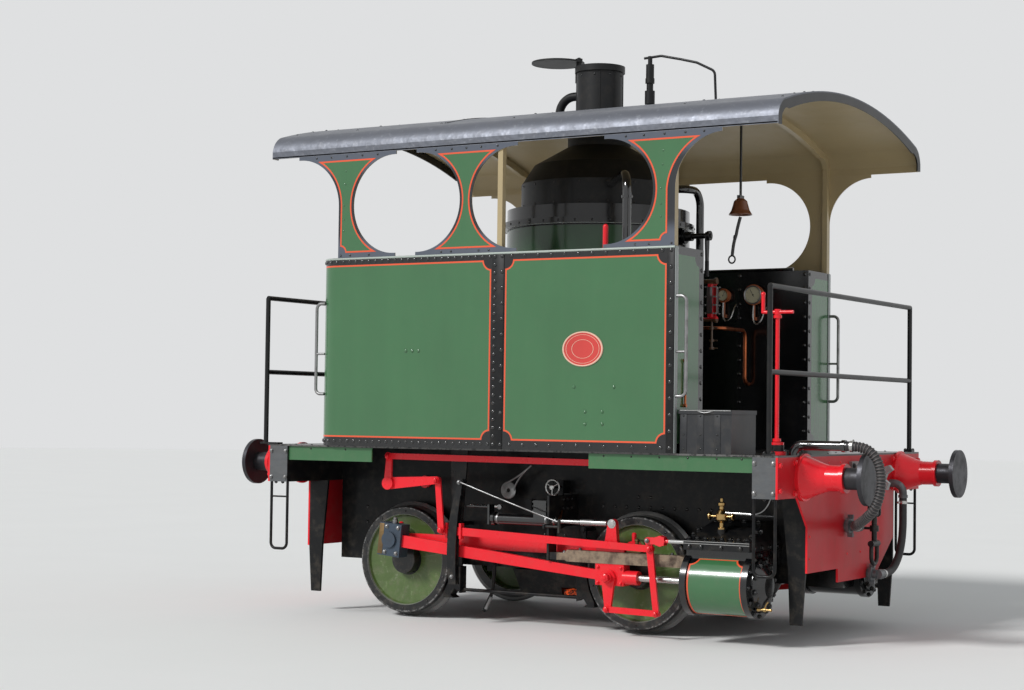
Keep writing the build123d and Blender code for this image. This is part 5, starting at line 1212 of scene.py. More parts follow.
class TRAM_OT_roof_trim(bpy.types.Operator):
    """Add the roof's lap seam, rivet rows and bright lower edges"""
    bl_idname = "tram.roof_trim"
    bl_label = "Roof trim"

    def execute(self, context):
        lines = []
        for x in (ROOF_SEAM - 0.045, ROOF_SEAM - 0.015, *HOOP_PLACES):
            lines += self.fan(x, 11)
        for end in (-1.90, 1.90):
            lines += self.fan(end, 17)
        lines += [((ROOF_SEAM + 0.16 * i, 0.02, CROWN + 0.5), DOWN) for i in range(-8, 16)]
        spread("roof_rivets", rivet(0.010), landings("roof", lines), "roof_bolt")
        line = [place + facing * 0.001 for place, facing in landings("roof", self.fan(ROOF_SEAM, 25))]
        own(piped("roof_seam", line, 0.0045, sides=8), "bolt_black")
        for side, name in SIDES:
            low = roof_low.y if side == NEAR else roof_high.y
            edge = box_piece(f"roof_edge_{name}", (roof_low.x + 0.004, low, EAVE + 0.004),
                             (roof_high.x - 0.004, low - side * 0.004, EAVE + 0.014), 0.001)
            own(edge, "edge_grey", "roof_paint")
        return {"FINISHED"}

    def fan(self, x, count):
        """Lines that meet the roof from above and both sides at one place along it."""
        centre = Vector((x, 0, EAVE - 0.6))
        turns = [radians(36) + radians(108) * i / (count - 1) for i in range(count)]
        return [(centre + away * 4, -away) for away in [Vector((0, cos(a), sin(a))) for a in turns]]


class TRAM_OT_boiler_trim(bpy.types.Operator):
    """Add a pale ring at the boiler's band edge as a painted highlight, the boiler's bolts, the chimney's laps and the
    fire door's furniture
    """
    bl_idname = "tram.boiler_trim"
    bl_label = "Boiler trim"

    def execute(self, context):
        # painted highlight: a thin pale ring where light catches the lower edge of the black band
        profile = mm(693, 2777, 696.5, 2777, 697.5, 2779.5, 696.5, 2782, 693, 2782, 693, 2777)
        own(turned_piece("boiler_band_highlight", profile, steps=96), "strip_grey")
        around = [Vector((cos(a), sin(a), 0)) for a in [radians(360 * i / 36 + 5) for i in range(36)]]
        lines = [(away * reach + Vector((0, 0, z)), -away)
                 for reach, z, skip in ((1.2, 2.801, 1), (1.2, 2.945, 2), (1.2, 3.085, 2), (0.6, 3.905, 4))
                 for away in around[::skip]]
        spread("boiler_bolts", rivet(0.009), landings("boiler smokebox chimney", lines))
        self.laps()
        self.door()
        return {"FINISHED"}

    def laps(self):
        """Raised laps down the chimney."""
        laps = []
        for i, turn in enumerate((-62, 20, 118, 205)):
            away = Vector((cos(radians(turn)), sin(radians(turn)), 0))
            ends = landings("chimney", [(away * 0.6 + Vector((0, 0, z)), -away) for z in (3.925, CROWN + 0.03)])
            if len(ends) == 2:
                top, low = ends[0][0], ends[1][0]
                laps.append(piped(f"chimney_lap_{i}", [top, top.lerp(low, 0.5), low], 0.005, sides=8))
        own(joined("chimney_laps", laps), "black_paint")

    def door(self):
        """Strap hinges, rivets and a latch on the fire door."""
        low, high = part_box("firehole_door")
        centre, face = (low + high) / 2, high.x
        heights = (low.z + 0.07, high.z - 0.07)
        parts = [box_piece(f"door_strap_{i}", (face - 0.002, low.y + 0.03, z - 0.014),
                           (face + 0.006, high.y - 0.05, z + 0.014)) for i, z in enumerate(heights)]
        parts.append(box_piece("door_latch", (face - 0.002, centre.y - 0.10, centre.z - 0.011),
                               (face + 0.012, centre.y + 0.02, centre.z + 0.011), 0.003))
        own(joined("door_furniture", parts), "dull_steel", "black_paint", "firehole_door")
        places = [((face + 0.006, y, z), AHEAD) for z in heights for y in (low.y + 0.06, centre.y, high.y - 0.09)]
        spread("door_rivets", rivet(0.008), places, body="firehole_door")


class TRAM_OT_frame_trim(BothSides, bpy.types.Operator):
    """Rivet the frames and bolt the beams, face plates, aprons, buffers and steps"""
    bl_idname = "tram.frame_trim"
    bl_label = "Frame trim"

    frame_rivets = (
        *[(x, 0.834) for x in (0.40, 0.49, 0.58, 0.67, 0.76, 0.85, 0.94, 1.03, 1.12, 1.21)],
        (0.668, 0.904), (0.76, 0.904), *[(-1.565, z) for z in (0.43, 0.54, 0.65, 0.76)], (-1.50, 0.47),
        (-1.50, 0.58), *[(-0.80, z) for z in (0.60, 0.70, 0.80)], *[(x, 0.62) for x in (0.10, 0.02, -0.06)],
        *[(x, 1.15) for x in (-1.4, -1.2, -1.0, -0.8, -0.2, 0.0, 0.4, 0.6, 0.8, 1.0, 1.2, 1.4)])
    apron_bolts = (*[(y, z) for z in (1.165, 0.985) for y in (0.60, 0.45, 0.25)], (0.77, 0.700), (0.77, 0.560),
                   (0.12, 0.560))

    def trim(self, side, name):
        into = (0, -side, 0)
        starts = [(x, side * 0.80, z) for x, z in self.frame_rivets]
        fastened(f"frame_rivets_{name}", rivet(0.0125), "frames", starts, into)
        starts = [(end * x, side * OUTSIDE, z) for end in (-1, 1) for x in (1.812, 1.938) for z in (0.985, 1.170)]
        fastened(f"beam_bolts_{name}", nut(0.026), "end_beams", starts, into, "dull_steel")
        for end, label in ((-1, "rear"), (1, "front")):
            self.face(end, side, f"{label}_{name}")
            starts = [(end * (1.953 - inset), side * 1.25, 0.6) for inset in (0.09, 0.03)]
            fastened(f"step_nuts_{label}_{name}", nut(0.024), "end_beams", starts, UP)
        starts = [(x, side * OUTSIDE, 1.190) for x in (-1.60, -1.30, 0.75, 0.95, 1.15, 1.35, 1.55, 1.72)]
        fastened(f"valance_rivets_{name}", rivet(0.007), "footplate", starts, into)
        starts = [(x, side * 1.262, 2.0) for x in (1.40, 1.56, 1.72, -1.60, -1.74)]
        starts += [(x, side * y, 2.0) for x in (1.72, 1.90, -1.72, -1.90) for y in (0.30, 0.60)]
        fastened(f"deck_bolts_{name}", rivet(0.009), "footplate", starts, DOWN)
        starts = [(x, side * (1.270 + out), 1.30) for x in (1.878, 1.922) for out in (-0.022, 0.020)]
        fastened(f"rail_foot_nuts_{name}", nut(0.020), "handrails footplate", starts, DOWN)

    def face(self, end, side, name):
        """Bolts of one half of a face plate with its buffer and hook."""
        def bolted(label, master, nodes, spots, *look):
            starts = [(end * 3, side * y, z) for y, z in spots]
            fastened(f"{label}_{name}", master, nodes, starts, (-end, 0, 0), *look)
        bolted("apron_bolts", rivet(0.009), "face_plates", self.apron_bolts, "red_paint")
        spots = [(1.262, 1.158), (1.262, 1.001)]
        spots += [(BUFFER_Y + out, BUFFER_Z + up) for out in (-0.150, 0.150) for up in (-0.098, 0.098)]
        bolted("face_bolts", nut(0.034), "face_plates buffer_casings", spots, "red_paint")
        bolted("hook_nuts", nut(0.030), "draw_hooks face_plates", [(0.060, 1.015), (0.060, 1.140)])


class TRAM_OT_cylinder_trim(BothSides, bpy.types.Operator):
    """Line the cylinders and add the nuts of their covers, chests and glands, and the drain cocks"""
    bl_idname = "tram.cylinder_trim"
    bl_label = "Cylinder trim"

    chest_reach = 1.130

    def trim(self, side, name):
        self.lining(side, name)
        self.nuts(side, name)
        self.lips(side, name)
        self.cocks(side, name)

    def lining(self, side, name):
        low, high = CYLINDER_LINING_DOWN, CYLINDER_LINING_UP
        turns = [low + (high - low) * i / 24 for i in range(1, 25)]
        loops = []
        for inset in (0.0, sizes().lining):
            points = hollowed(*CYLINDER_LINING_X, low, high, CYLINDER_NOTCH, inset, (False, False, True, True))
            loops.append(uprights(points, [t for t in turns if t < high - 0.058]))
        own(ribbon(f"cylinder_lining_{name}", *loops, 0.001, barrel_wrap(side)), "lining_paint")

    def nuts(self, side, name):
        def fixed(label, across, nodes, starts, direction, *look):
            fastened(f"{label}_{name}", nut(across), nodes, starts, direction, *look)
        low_x, high_x = CHEST_X
        starts = [(low_x + (high_x - low_x) * i / 7, side * 1.102, 1.3) for i in range(8)]
        starts += [(x, side * y, 1.3) for x in CHEST_X for y in (1.035, 0.965, 0.895)]
        starts += [(x, side * 0.80, 1.3) for x in (1.33, 1.43, 1.53, 1.63)]
        fixed("chest_nuts", 0.030, "steam_chests", starts, DOWN)
        starts = [(x, side * OUTSIDE, 0.628) for x in (1.30, 1.383, 1.521, 1.654)]
        fixed("chest_flange_nuts", 0.026, "steam_chests", starts, (0, -side, 0))
        heart = Vector((3.0, side * MOTION_Y, CYLINDER_Z))
        fixed("cover_nuts", 0.034, "cylinders", ring(heart, 0.150, 10, AHEAD, 0.2), BACK)
        fixed("flange_nuts", 0.028, "cylinders", ring(heart, 0.193, 12, AHEAD), BACK)
        heart.x = 0.5
        fixed("back_nuts", 0.030, "cylinders", ring(heart, 0.170, 10, AHEAD, 0.3), AHEAD)
        starts = [(0.9, side * MOTION_Y, CYLINDER_Z + up) for up in (-0.062, 0.062)]
        fixed("gland_nuts", 0.026, "glands_and_oilers cylinders", starts, AHEAD, "brass")
        starts = [(2.2, side * y, 0.628) for y in (0.70, 0.82, 0.94, 1.06)]
        fixed("chest_end_nuts", 0.026, "steam_chests", starts, BACK)

    def lips(self, side, name):
        """Worn bright edges of the chest's flange and cover."""
        face = side * self.chest_reach
        lips = [box_piece(f"lip_{i}", (1.257, face, z), (1.713, face + side * 0.0015, z + 0.004), 0.0006)
                for i, z in enumerate((0.645, 0.659))]
        own(joined(f"chest_lips_{name}", lips), "edge_grey")

    def cocks(self, side, name):
        """Brass drain cock with its lever, low on each cover, and a pipe forward of the oiler."""
        seat = Vector((1.735, side * 1.05, 0.250))
        profile = mm(0, 0, 12, 0, 12, 14, 8, 20, 8, 40, 13, 44, 13, 58, 7, 62, 7, 85, 10, 88, 10, 96, 0, 96)
        body = turned_piece("cock_body", profile, seat, AHEAD, 16)
        points = [seat + Vector((x, 0, z)) for x, z in ((0.05, 0.004), (0.055, 0.035), (0.075, 0.050))]
        own(joined(f"drain_cock_{name}", [body, piped("cock_lever", points, 0.005)]), "brass")
        for label, points, *look in (
                ("rod", ((1.475, 0.985, 0.842), (1.55, 0.985, 0.841), (1.660, 0.985, 0.838)), 0.010),
                ("wire", ((1.660, 0.985, 0.838), (1.76, 0.99, 0.834), (1.80, 1.00, 0.95)), 0.004, "dull_steel")):
            bar(f"oiler_{label}_{name}", [(x, side * y, z) for x, y, z in points], *look)


# Pins of the valve gear and the cranks as (x, z), and the lengths between them
RADIUS_PIN = (0.975, 0.590)
CROSSHEAD_X = {NEAR: 0.654, FAR: 0.812}
DRIVING_PIN = {NEAR: (-1.098, 0.558), FAR: (-0.948, 0.408)}
COUPLED_PIN = {NEAR: (0.766, 0.558), FAR: (0.916, 0.408)}
FOOT_Z, UNION_LENGTH, LEVER_LOW, LEVER_HIGH = 0.181, 0.373, 0.419, 0.056


def lever_places(side):
    """Foot, bottom and top pins of a side's combination lever."""
    foot = (CROSSHEAD_X[side], FOOT_Z)
    dx, dz = RADIUS_PIN[0] - foot[0], RADIUS_PIN[1] - foot[1]
    apart = hypot(dx, dz)
    along = (UNION_LENGTH ** 2 - LEVER_LOW ** 2 + apart ** 2) / (2 * apart)
    off = sqrt(UNION_LENGTH ** 2 - along ** 2)
    bottom = (foot[0] + (along * dx + off * dz) / apart, foot[1] + (along * dz - off * dx) / apart)
    share = LEVER_HIGH / LEVER_LOW
    top = (RADIUS_PIN[0] + share * (RADIUS_PIN[0] - bottom[0]), RADIUS_PIN[1] + share * (RADIUS_PIN[1] - bottom[1]))
    return foot, bottom, top


class TRAM_OT_motion_trim(BothSides, bpy.types.Operator):
    """Add the pins' nuts, the oil boxes, the pump bushes and the big ends' bolts and packing"""
    bl_idname = "tram.motion_trim"
    bl_label = "Motion trim"

    gear = ("expansion_links radius_rods combination_levers crossheads weighshaft reach_rod motion_brackets "
            "connecting_rods valve_crossheads big_ends")

    def execute(self, context):
        super().execute(context)
        self.nuts("reach_nuts", NEAR, [(-1.040, 1.149), (0.615, 1.140)], 0.032)
        return {"FINISHED"}

    def trim(self, side, name):
        foot, bottom, top = lever_places(side)
        pins = [foot, bottom, RADIUS_PIN, (-0.622, 0.646), (-0.655, 0.990)]
        self.nuts(f"pin_nuts_{name}", side, pins, 0.036)
        pins = [(-0.545, 0.330), (-0.484, 0.980), top]
        self.nuts(f"link_nuts_{name}", side, pins, 0.026, "dull_steel", "grey_steel")
        x = CROSSHEAD_X[side]
        self.nuts(f"gudgeon_nuts_{name}", side, [(x, CYLINDER_Z)], 0.062)
        pins = [(x + way * 0.085, z) for z in (0.452, 0.350) for way in (-1, 1)]
        self.nuts(f"shoe_bolts_{name}", side, pins, 0.022)
        self.pump_joint(side, name)
        self.oil_box(side, name)
        self.big_end(side, name)
        starts = [(x, side * 0.970, 0.9) for x in (0.30, 0.42, 1.10, 1.20)]
        fastened(f"bar_nuts_{name}", nut(0.024), "slide_bars", starts, DOWN, "dull_steel")
        starts = [(0.9, side * y, z) for y in (0.70, 0.76, 0.82) for z in (0.82, 0.88)]
        fastened(f"bracket_bolts_{name}", nut(0.024), "motion_brackets", starts, BACK)
        starts = [(x, side * OUTSIDE, z) for x in (-0.56, -0.58) for z in (1.05, 1.12)]
        fastened(f"hanger_rivets_{name}", rivet(0.006), "motion_brackets expansion_links", starts, (0, -side, 0))

    def nuts(self, name, side, spots, across, material="red_paint", slot=None):
        starts = [(x, side * OUTSIDE, z) for x, z in spots]
        fastened(name, nut(across), self.gear, starts, (0, -side, 0), material, slot)

    def pump_joint(self, side, name):
        """Bright bush in the crosshead's lug, the plunger's eye round it and a sleeve on the plunger."""
        x, out = CROSSHEAD_X[side], (0, side, 0)
        place, pump = (x, side * 0.970, PUMP_Z), side * PUMP_Y
        parts = [
            turned_piece("bush", mm(0, 0, 21, 0, 21, 6, 14, 8, 0, 8), place, out),
            turned_piece("eye", sleeve(22, 30, 3), place, out),
            turned_piece("sleeve", sleeve(12.5, 20, 202, 2), (x - 0.245, pump, PUMP_Z), AHEAD, 20),
            turned_piece("plunger", sleeve(12.5, 15, 1000 * x - 490), (0.240, pump, PUMP_Z), AHEAD, 20)]
        own(joined(f"pump_joint_{name}", parts), "bright_steel")

    def oil_box(self, side, name):
        """Bronze oil box with a knurled cap on the slide bar, above the crosshead."""
        seat = landing("slide_bars", (CROSSHEAD_X[side] + 0.175, side * MOTION_Y, 1.0), DOWN)[0]
        profile = mm(0, 0, 17, 0, 17, 30, 13, 34, 13, 50, 16, 53, 16, 64, 6, 70, 0, 70)
        low, high = seat + Vector((-0.055, -0.022, -0.001)), seat + Vector((0.050, 0.022, 0.028))
        block = box_piece("oil_block", low, high, 0.003)
        cup = turned_piece("oil_cup", profile, seat + Vector((0.012, 0, 0.026)), UP, 18)
        own(joined(f"oil_box_{name}", [block, cup]), "bronze")

    def big_end(self, side, name):
        """Bolts, packing and oil cup of the strap end."""
        pin = DRIVING_PIN[side]
        head = (CROSSHEAD_X[side], CYLINDER_Z)
        tilt = atan2(head[1] - pin[1], head[0] - pin[0])
        turn = lambda a, b: (pin[0] + a * cos(tilt) - b * sin(tilt), pin[1] + a * sin(tilt) + b * cos(tilt))
        bolts = [turn(a, b) for a in (0.066, -0.030) for b in (0.090, -0.090)]
        self.nuts(f"big_end_bolts_{name}", side, bolts, 0.026, "dull_steel", "grey_steel")
        face = side * 1.007
        packing = box_piece(f"big_end_packing_{name}", (-0.020, face - side * 0.080, -0.108),
                            (0.020, face + side * 0.0015, 0.108))
        seat = turn(-0.072, 0.0)
        packing.data.transform(Matrix.Translation((seat[0], 0, seat[1])) @ Matrix.Rotation(-tilt, 4, "Y"))
        own(packing, "bronze")
        seat = turn(0.0, 0.115)
        profile = mm(0, -4, 20, -4, 20, 22, 15, 28, 15, 40, 6, 44, 0, 44)
        place, along = (seat[0], side * 0.954, seat[1]), (-sin(tilt), 0, cos(tilt))
        own(turned_piece(f"big_end_cup_{name}", profile, place, along, 18), "dull_steel", "grey_steel")


class TRAM_OT_wheel_trim(BothSides, bpy.types.Operator):
    """Add the studs of the crankpins and the tyres and the coupling rods' oil cups"""
    bl_idname = "tram.wheel_trim"
    bl_label = "Wheel trim"

    def trim(self, side, name):
        def studs(label, master, body, x, z, *circle):
            starts = ring((x, side * OUTSIDE, z), *circle)
            fastened(f"{label}_{name}", master, body, starts, (0, -side, 0), body=body)
        out, rod = (0, side, 0), f"coupling_rod_{name}"
        studs("crankpin_studs", nut(0.020), "wheelset_coupled", *COUPLED_PIN[side], 0.030, 3, out)
        for body, x in (("wheelset_driving", DRIVING_X), ("wheelset_coupled", COUPLED_X)):
            studs(f"tyre_studs_{body}", rivet(0.008), body, x, AXLE_Z, 0.345, 10, out, 0.3)
        for label, (x, z) in (("driving", DRIVING_PIN[side]), ("coupled", COUPLED_PIN[side])):
            seat = landing(rod, (x, side * 0.860, z + 0.5), DOWN)[0]
            profile = mm(0, -3, 16, -3, 16, 20, 11, 26, 5, 28, 0, 28)
            own(turned_piece(f"rod_cup_{label}_{name}", profile, seat, UP, 16), "red_paint", body=rod)


class TRAM_OT_fittings_trim(BothSides, bpy.types.Operator):
    """Add the level rods, the pumps' glands and studs and the valve wheels on the frames"""
    bl_idname = "tram.fittings_trim"
    bl_label = "Frame fittings"

    wheel, disc = (0.105, 0.957), (-0.304, 0.922)

    def execute(self, context):
        super().execute(context)
        low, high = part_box("ashpan")
        embers = box_piece("ember_bed", (0.01, low.y + 0.012, 0.178), (0.188, high.y - 0.012, 0.232), 0.006)
        own(embers, ember_material(), "brass")
        return {"FINISHED"}

    def trim(self, side, name):
        def line(*points):
            return [(x, side * y, z) for x, y, z in points]

        def faced(label, profile, x, y, z, steps):
            return turned_piece(label, profile, (x, side * y, z), (0, side, 0), steps)

        lever = line((-0.484, 1.066, 0.984), (-0.10, 1.064, 0.858), (0.296, 1.062, 0.740))
        bar(f"lever_rod_{name}", lever, 0.0055, "dull_steel")
        bar(f"link_rod_{name}", line((-0.545, 0.822, 0.812), (-0.42, 0.822, 0.812), (-0.300, 0.822, 0.810)), 0.010)
        x, z = self.disc
        parts = [faced("rod_end", mm(0, 0, 17, 2, 19, 12, 17, 22, 0, 24), -0.300, 0.811, 0.810, 16),
                 faced("disc_face", mm(14, 0, 60, 0, 60, 4, 56, 6, 18, 6, 14, 3, 14, 0), x, 0.7045, z, 40)]
        parts += [piped("disc_stay", line((*foot, z), (-0.24, 0.72, 1.00), (-0.10, 0.74, 1.10)), 0.007)
                  for foot, z in (((x - 0.02, 0.712), z + 0.050), ((x + 0.050, 0.712), z))]
        own(joined(f"disc_stays_{name}", parts), "dull_steel")
        self.valve_wheel(side, name, faced)
        feed = line((0.115, 0.770, 0.915), (0.15, 0.79, 0.86), (0.20, 0.82, 0.80), (0.215, 0.90, 0.745))
        bar(f"pump_feed_{name}", feed, 0.010, "bell_metal")
        starts = ring((-1.0, side * PUMP_Y, PUMP_Z), 0.026, 4, AHEAD, 0.8)
        fastened(f"pump_studs_{name}", nut(0.018), "feed_pumps", starts, AHEAD, "dull_steel")
        own(turned_piece(f"pump_gland_{name}", mm(13, 0, 30, 2, 30, 24, 22, 30, 22, 42, 13, 44, 13, 0),
                         (0.184, side * PUMP_Y, PUMP_Z), AHEAD), "bright_steel")
        bands = [turned_piece("pump_band", sleeve(35.5, 38.5, 14, 1), (x, side * PUMP_Y, PUMP_Z), AHEAD, 28)
                 for x in (-0.275, -0.235, 0.150)]
        own(joined(f"pump_bands_{name}", bands), "dull_steel")
        tip = line((-0.436, 0.700, 0.172), (-0.46, 0.70, 0.125), (-0.480, 0.700, 0.086))
        bar(f"drain_tip_{name}", tip, 0.012, "dull_steel")

    def valve_wheel(self, side, name, faced):
        x, z = self.wheel
        rim = [(0.052 + a, b) for a, b in (*circle(0.0068, 8), (0.0068, 0))]
        parts = [faced("wheel_rim", rim, x, 0.800, z, 36),
                 faced("wheel_boss", mm(0, 0, 18, 0, 18, 12, 10, 16, 0, 16), x, 0.805, z, 18)]
        for a in (0.5, 2.6, 4.7):
            spoke = [(x + r * cos(a), side * 0.806, z + r * sin(a)) for r in (0.010, 0.030, 0.050)]
            parts.append(piped("wheel_spoke", spoke, 0.004, sides=8))
        own(joined(f"valve_wheel_{name}", parts), "bright_steel")


class TRAM_OT_cab_trim(bpy.types.Operator):
    """Dress the gauges, the bell pull, the locker and the handbrake"""
    bl_idname = "tram.cab_trim"
    bl_label = "Cab trim"

    dials = (("small", 0.607, 0.045, 62), ("large", 0.850, 0.070, 118))
    dial_seat = (0.836, 2.356)
    brake_column = (1.840, -1.010)

    def execute(self, context):
        for name, x, radius, needle in self.dials:
            self.dial(name, x, radius, needle)
        self.water_gauge()
        self.bell_pull()
        self.locker()
        self.brake()
        return {"FINISHED"}

    def dial(self, name, x, radius, needle):
        """Gauge face with ticks and a needle in a bright ring, and its siphon pipe."""
        centre = Vector((x, *self.dial_seat))

        def turned(label, steps, *profile):
            scaled = [(radius * share, height) for share, height in profile]
            return turned_piece(label, scaled, centre, (0, -1, 0), steps)

        def spoke(label, degrees, inner, outer, lift, thick, sides):
            a = radians(degrees)
            start, end = (centre + Vector((cos(a) * radius * reach, -lift, sin(a) * radius * reach))
                          for reach in (inner, outer))
            return piped(label, [start, start.lerp(end, 0.5), end], radius * thick, sides=sides)

        own(turned(f"dial_face_{name}", 40, (0, 0), (0.86, 0), (0.86, 0.0015), (0, 0.0015)), "dial_face")
        rim = turned(f"dial_rim_{name}", 40, (0.84, -0.001), (1.0, -0.001), (1.0, 0.008), (0.93, 0.011),
                     (0.86, 0.008), (0.84, -0.001))
        own(rim, "bell_metal" if name == "small" else "dull_steel", "brass")
        marks = [spoke(f"mark_{i}", 225 - 13.5 * i, 0.74 if i % 5 else 0.66, 0.82, 0.002, 0.012, 4) for i in range(21)]
        marks.append(spoke("needle", needle, -0.25, 0.70, 0.004, 0.022, 6))
        marks.append(turned("hub", 16, (0, 0.001), (0.09, 0.001), (0.07, 0.006), (0, 0.006)))
        own(joined(f"dial_marks_{name}", marks), "bolt_black")
        loop = ((0, 0, 0), (0, -0.01, -0.05), (0.005, -0.02, -0.12), (0.035, -0.025, -0.155),
                (0.075, -0.02, -0.12), (0.085, 0.0, -0.05), (0.085, 0.042, -0.02))
        bar(f"siphon_{name}", [centre + Vector((dx, 0.012 + dy, dz - radius)) for dx, dy, dz in loop], 0.0055)

    def water_gauge(self):
        """Thick glass with its lit slit between bolted frames."""
        low_y, high_x = 0.300 - 0.042, 0.770 + 0.042
        low, high = 2.168 + 0.02, 2.400 - 0.02
        glasses = [box_piece("water_glass", (0.748, low_y - 0.004, low), (0.792, low_y + 0.002, high)),
                   box_piece("water_glass_end", (high_x - 0.002, 0.280, low), (high_x + 0.004, 0.320, high))]
        own(joined("water_glasses", glasses), "gauge_glass")
        heights = (2.19, 2.25, 2.31, 2.38)
        places = [((x, low_y, z), (0, -1, 0)) for x in (0.738, 0.802) for z in heights]
        places += [((high_x, y, z), AHEAD) for y in (0.268, 0.332) for z in heights]
        spread("water_gauge_nuts", nut(0.012), places, "dull_steel")

    def bell_pull(self):
        """Jointed rod and hand loop hung from the bell's clapper."""
        rod = [(x, 0, z) for x, z in ((1.122, 2.842), (1.100, 2.768), (1.092, 2.720), (1.078, 2.682),
                                      (1.068, 2.630), (1.062, 2.572))]
        loop = [(1.060 + 0.026 * a, 0, 2.548 + 0.028 * b) for a, b in circle(1, 8)]
        knuckle = mm(0, 0, 13, 4, 14, 18, 10, 34, 0, 36)
        parts = [piped("pull_rod", rod, 0.012), piped("pull_loop", loop, 0.006, closed=True),
                 turned_piece("pull_knuckle", knuckle, (1.087, 0, 2.718), (-0.25, 0, -1), 14)]
        own(joined("bell_pull", parts), "bolt_black")

    def locker(self):
        """Upright straps, rivets and a ring handle on the locker, and a worn edge on its lid."""
        low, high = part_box("locker")
        face, spots = low.y - 0.003, [low.x + step for step in (0.004, 0.120, 0.236)]
        straps = [box_piece(f"strap_{i}", (x, face, low.z + 0.004), (x + 0.044, low.y + 0.001, high.z - 0.006), 0.001)
                  for i, x in enumerate(spots)]
        own(joined("locker_straps", straps), "box_grey")
        heights = (low.z + 0.03, low.z + 0.12, high.z - 0.03)
        places = [((x + 0.022, face, z), (0, -1, 0)) for x in spots for z in heights]
        spread("locker_rivets", rivet(0.007), places)
        low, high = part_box("locker_lid")
        centre, edge = (low.x + high.x) / 2, Vector((0, low.y + 0.001, high.z - 0.004))
        points = [(x, edge.y, edge.z) for x in (low.x + 0.01, centre, high.x - 0.01)]
        own(piped("lid_edge", points, 0.003, sides=8), "edge_grey", "black_paint", "locker_lid")
        handle = ((-0.05, 0.002, 0.016), (-0.05, -0.006, 0.016), (0, -0.010, 0.006), (0.05, -0.006, 0.016),
                  (0.05, 0.002, 0.016))
        points = [(centre + x, low.y + y, low.z + z) for x, y, z in handle]
        own(piped("lid_handle", points, 0.004, sides=8), "dull_steel", body="locker_lid")

    def brake(self):
        """Collars and a bolted seat on the brake column."""
        x, y = self.brake_column
        collars = [turned_piece("brake_collar", sleeve(16, 26, 22, 2), (x, y, z)) for z in (1.30, 2.075)]
        own(joined("brake_collars", collars), "red_paint")
        profile = mm(18, 0, 46, 2, 46, 50, 40, 56, 18, 58, 18, 0)
        own(turned_piece("brake_seat", profile, (x, y, DECK + 0.012), UP, 30), "cast_black")
        starts = [(x + dx, y + dy, 1.6) for dx, dy in ((0.058, 0), (-0.058, 0), (0, 0.058), (0, -0.058))]
        fastened("brake_seat_nuts", nut(0.018), "handbrake footplate", starts, DOWN)


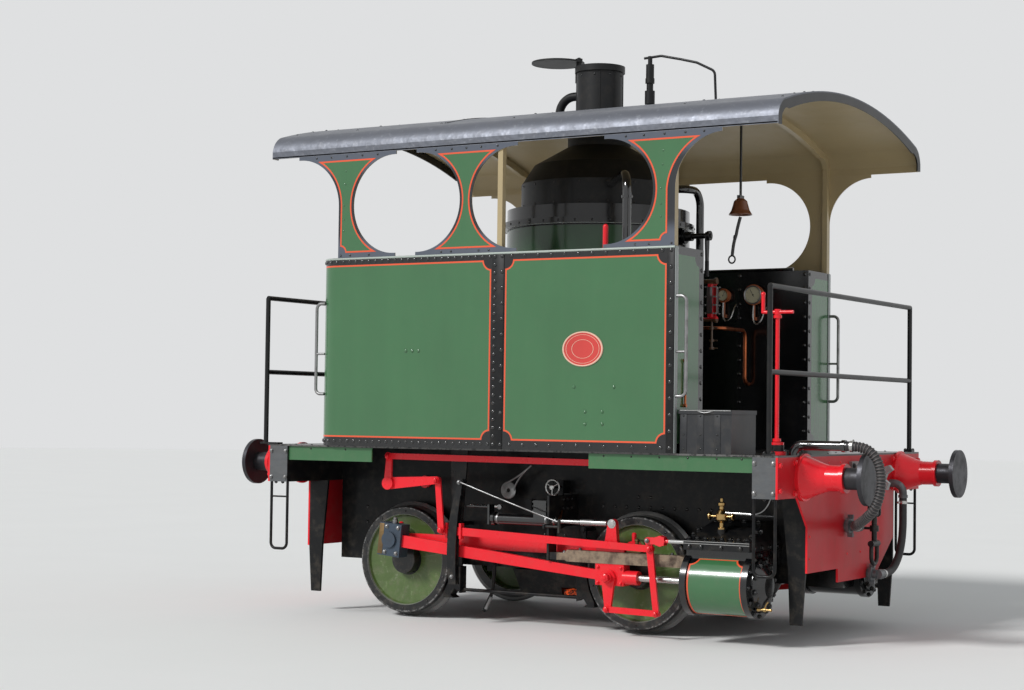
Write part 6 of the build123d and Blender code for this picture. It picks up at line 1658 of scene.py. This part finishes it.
class TRAM_OT_stage(bpy.types.Operator):
    """Set the camera, the floor and the lamps"""
    bl_idname = "tram.stage"
    bl_label = "Stage"

    def execute(self, context):
        settings = context.scene.tram_stage
        context.scene.view_settings.view_transform = "Standard"
        self.camera(context, settings)
        self.floor(settings)
        self.sky(context, settings)
        self.lamp("key_lamp", "SUN", settings.key, (-3.38, -7.25, 6.00), (0, 0, 0), angle=settings.softness)
        self.lamp("fill_lamp", "AREA", settings.fill, (10.0, -4.0, 4.5), (1.0, 0, 1.2), size=6.0)
        return {"FINISHED"}

    def camera(self, context, settings):
        camera = linked("camera", bpy.data.cameras.new("camera"))
        camera.data.sensor_fit = "HORIZONTAL"
        camera.data.sensor_width = 36.0
        camera.data.lens = settings.lens
        camera.data.clip_end = 300.0
        turns = ((settings.azimuth, "Z"), (radians(90) + settings.pitch, "X"), (settings.roll, "Z"))
        camera.matrix_world = Matrix.Translation(settings.place)
        for turn, axis in turns:
            camera.matrix_world = camera.matrix_world @ Matrix.Rotation(turn, 4, axis)
        context.scene.camera = camera

    def floor(self, settings):
        clear_selection()
        bpy.ops.mesh.primitive_circle_add(vertices=96, radius=settings.floor_radius, fill_type="NGON")
        floor = settled("floor")
        shade = Shade("floor_paint")
        pale = shade.toned(srgb(238, 238, 236), 0.98 + shade.noise(0.8, 4.0) * 0.04)
        grain = shade.bump(shade.noise(60.0, 3.0), 0.0004)
        floor.data.materials.append(shade.surface(pale, 0.85, grain, Specular_IOR_Level=0.1))

    def lamp(self, name, kind, energy, place, aim, **look):
        light = bpy.data.lights.new(name, kind)
        for key, value in {"energy": energy, **look}.items():
            setattr(light, key, value)
        holder = linked(name, light)
        holder.location = place
        holder.rotation_euler = (Vector(aim) - Vector(place)).to_track_quat("-Z", "Y").to_euler()

    def sky(self, context, settings):
        """Plain light from all round, and the pale background that the camera, metal and glass see."""
        world = bpy.data.worlds.new("studio")
        context.scene.world = world
        world.use_nodes = True
        nodes, links = world.node_tree.nodes, world.node_tree.links
        nodes.clear()
        seen = nodes.new("ShaderNodeLightPath")
        lights = []
        for tint, strength in ((srgb(244, 248, 252), settings.sky), (settings.backdrop, 1.0)):
            lights.append(nodes.new("ShaderNodeBackground"))
            lights[-1].inputs["Color"].default_value = (*tint, 1)
            lights[-1].inputs["Strength"].default_value = strength
        share = seen.outputs["Is Camera Ray"]
        for ray in ("Is Glossy Ray", "Is Transmission Ray"):
            either = nodes.new("ShaderNodeMath")
            either.operation = "MAXIMUM"
            links.new(share, either.inputs[0])
            links.new(seen.outputs[ray], either.inputs[1])
            share = either.outputs[0]
        mixed = nodes.new("ShaderNodeMixShader")
        for source, target in zip((share, lights[0].outputs[0], lights[1].outputs[0]), mixed.inputs):
            links.new(source, target)
        end = nodes.new("ShaderNodeOutputWorld")
        links.new(mixed.outputs[0], end.inputs["Surface"])


class TRAM_PT_panel(bpy.types.Panel):
    """Lists the steps of the dressing in the sidebar"""
    bl_label = "Steam tram"
    bl_idname = "TRAM_PT_panel"
    bl_space_type = "VIEW_3D"
    bl_region_type = "UI"
    bl_category = "Steam tram"

    def draw(self, context):
        for operator in OPERATORS:
            self.layout.operator(operator.bl_idname)


OPERATORS = (TRAM_OT_stage, TRAM_OT_hoses, TRAM_OT_paint, TRAM_OT_tank_trim, TRAM_OT_window_trim,
             TRAM_OT_roof_trim, TRAM_OT_boiler_trim, TRAM_OT_frame_trim, TRAM_OT_cylinder_trim,
             TRAM_OT_motion_trim, TRAM_OT_wheel_trim, TRAM_OT_fittings_trim, TRAM_OT_cab_trim)
GROUPS = {"tram_colours": TramColours, "tram_sizes": TramSizes, "tram_stage": TramStage}
CLASSES = (*GROUPS.values(), *OPERATORS, TRAM_PT_panel)


def register():
    for kind in CLASSES:
        bpy.utils.register_class(kind)
    for name, group in GROUPS.items():
        setattr(bpy.types.Scene, name, PointerProperty(type=group))


def unregister():
    for name in GROUPS:
        delattr(bpy.types.Scene, name)
    for kind in reversed(CLASSES):
        bpy.utils.unregister_class(kind)


def main():
    register()
    for operator in OPERATORS:
        getattr(bpy.ops.tram, operator.bl_idname.split(".")[1])()
    print("missed", missed)


if __name__ == "__main__":
    main()
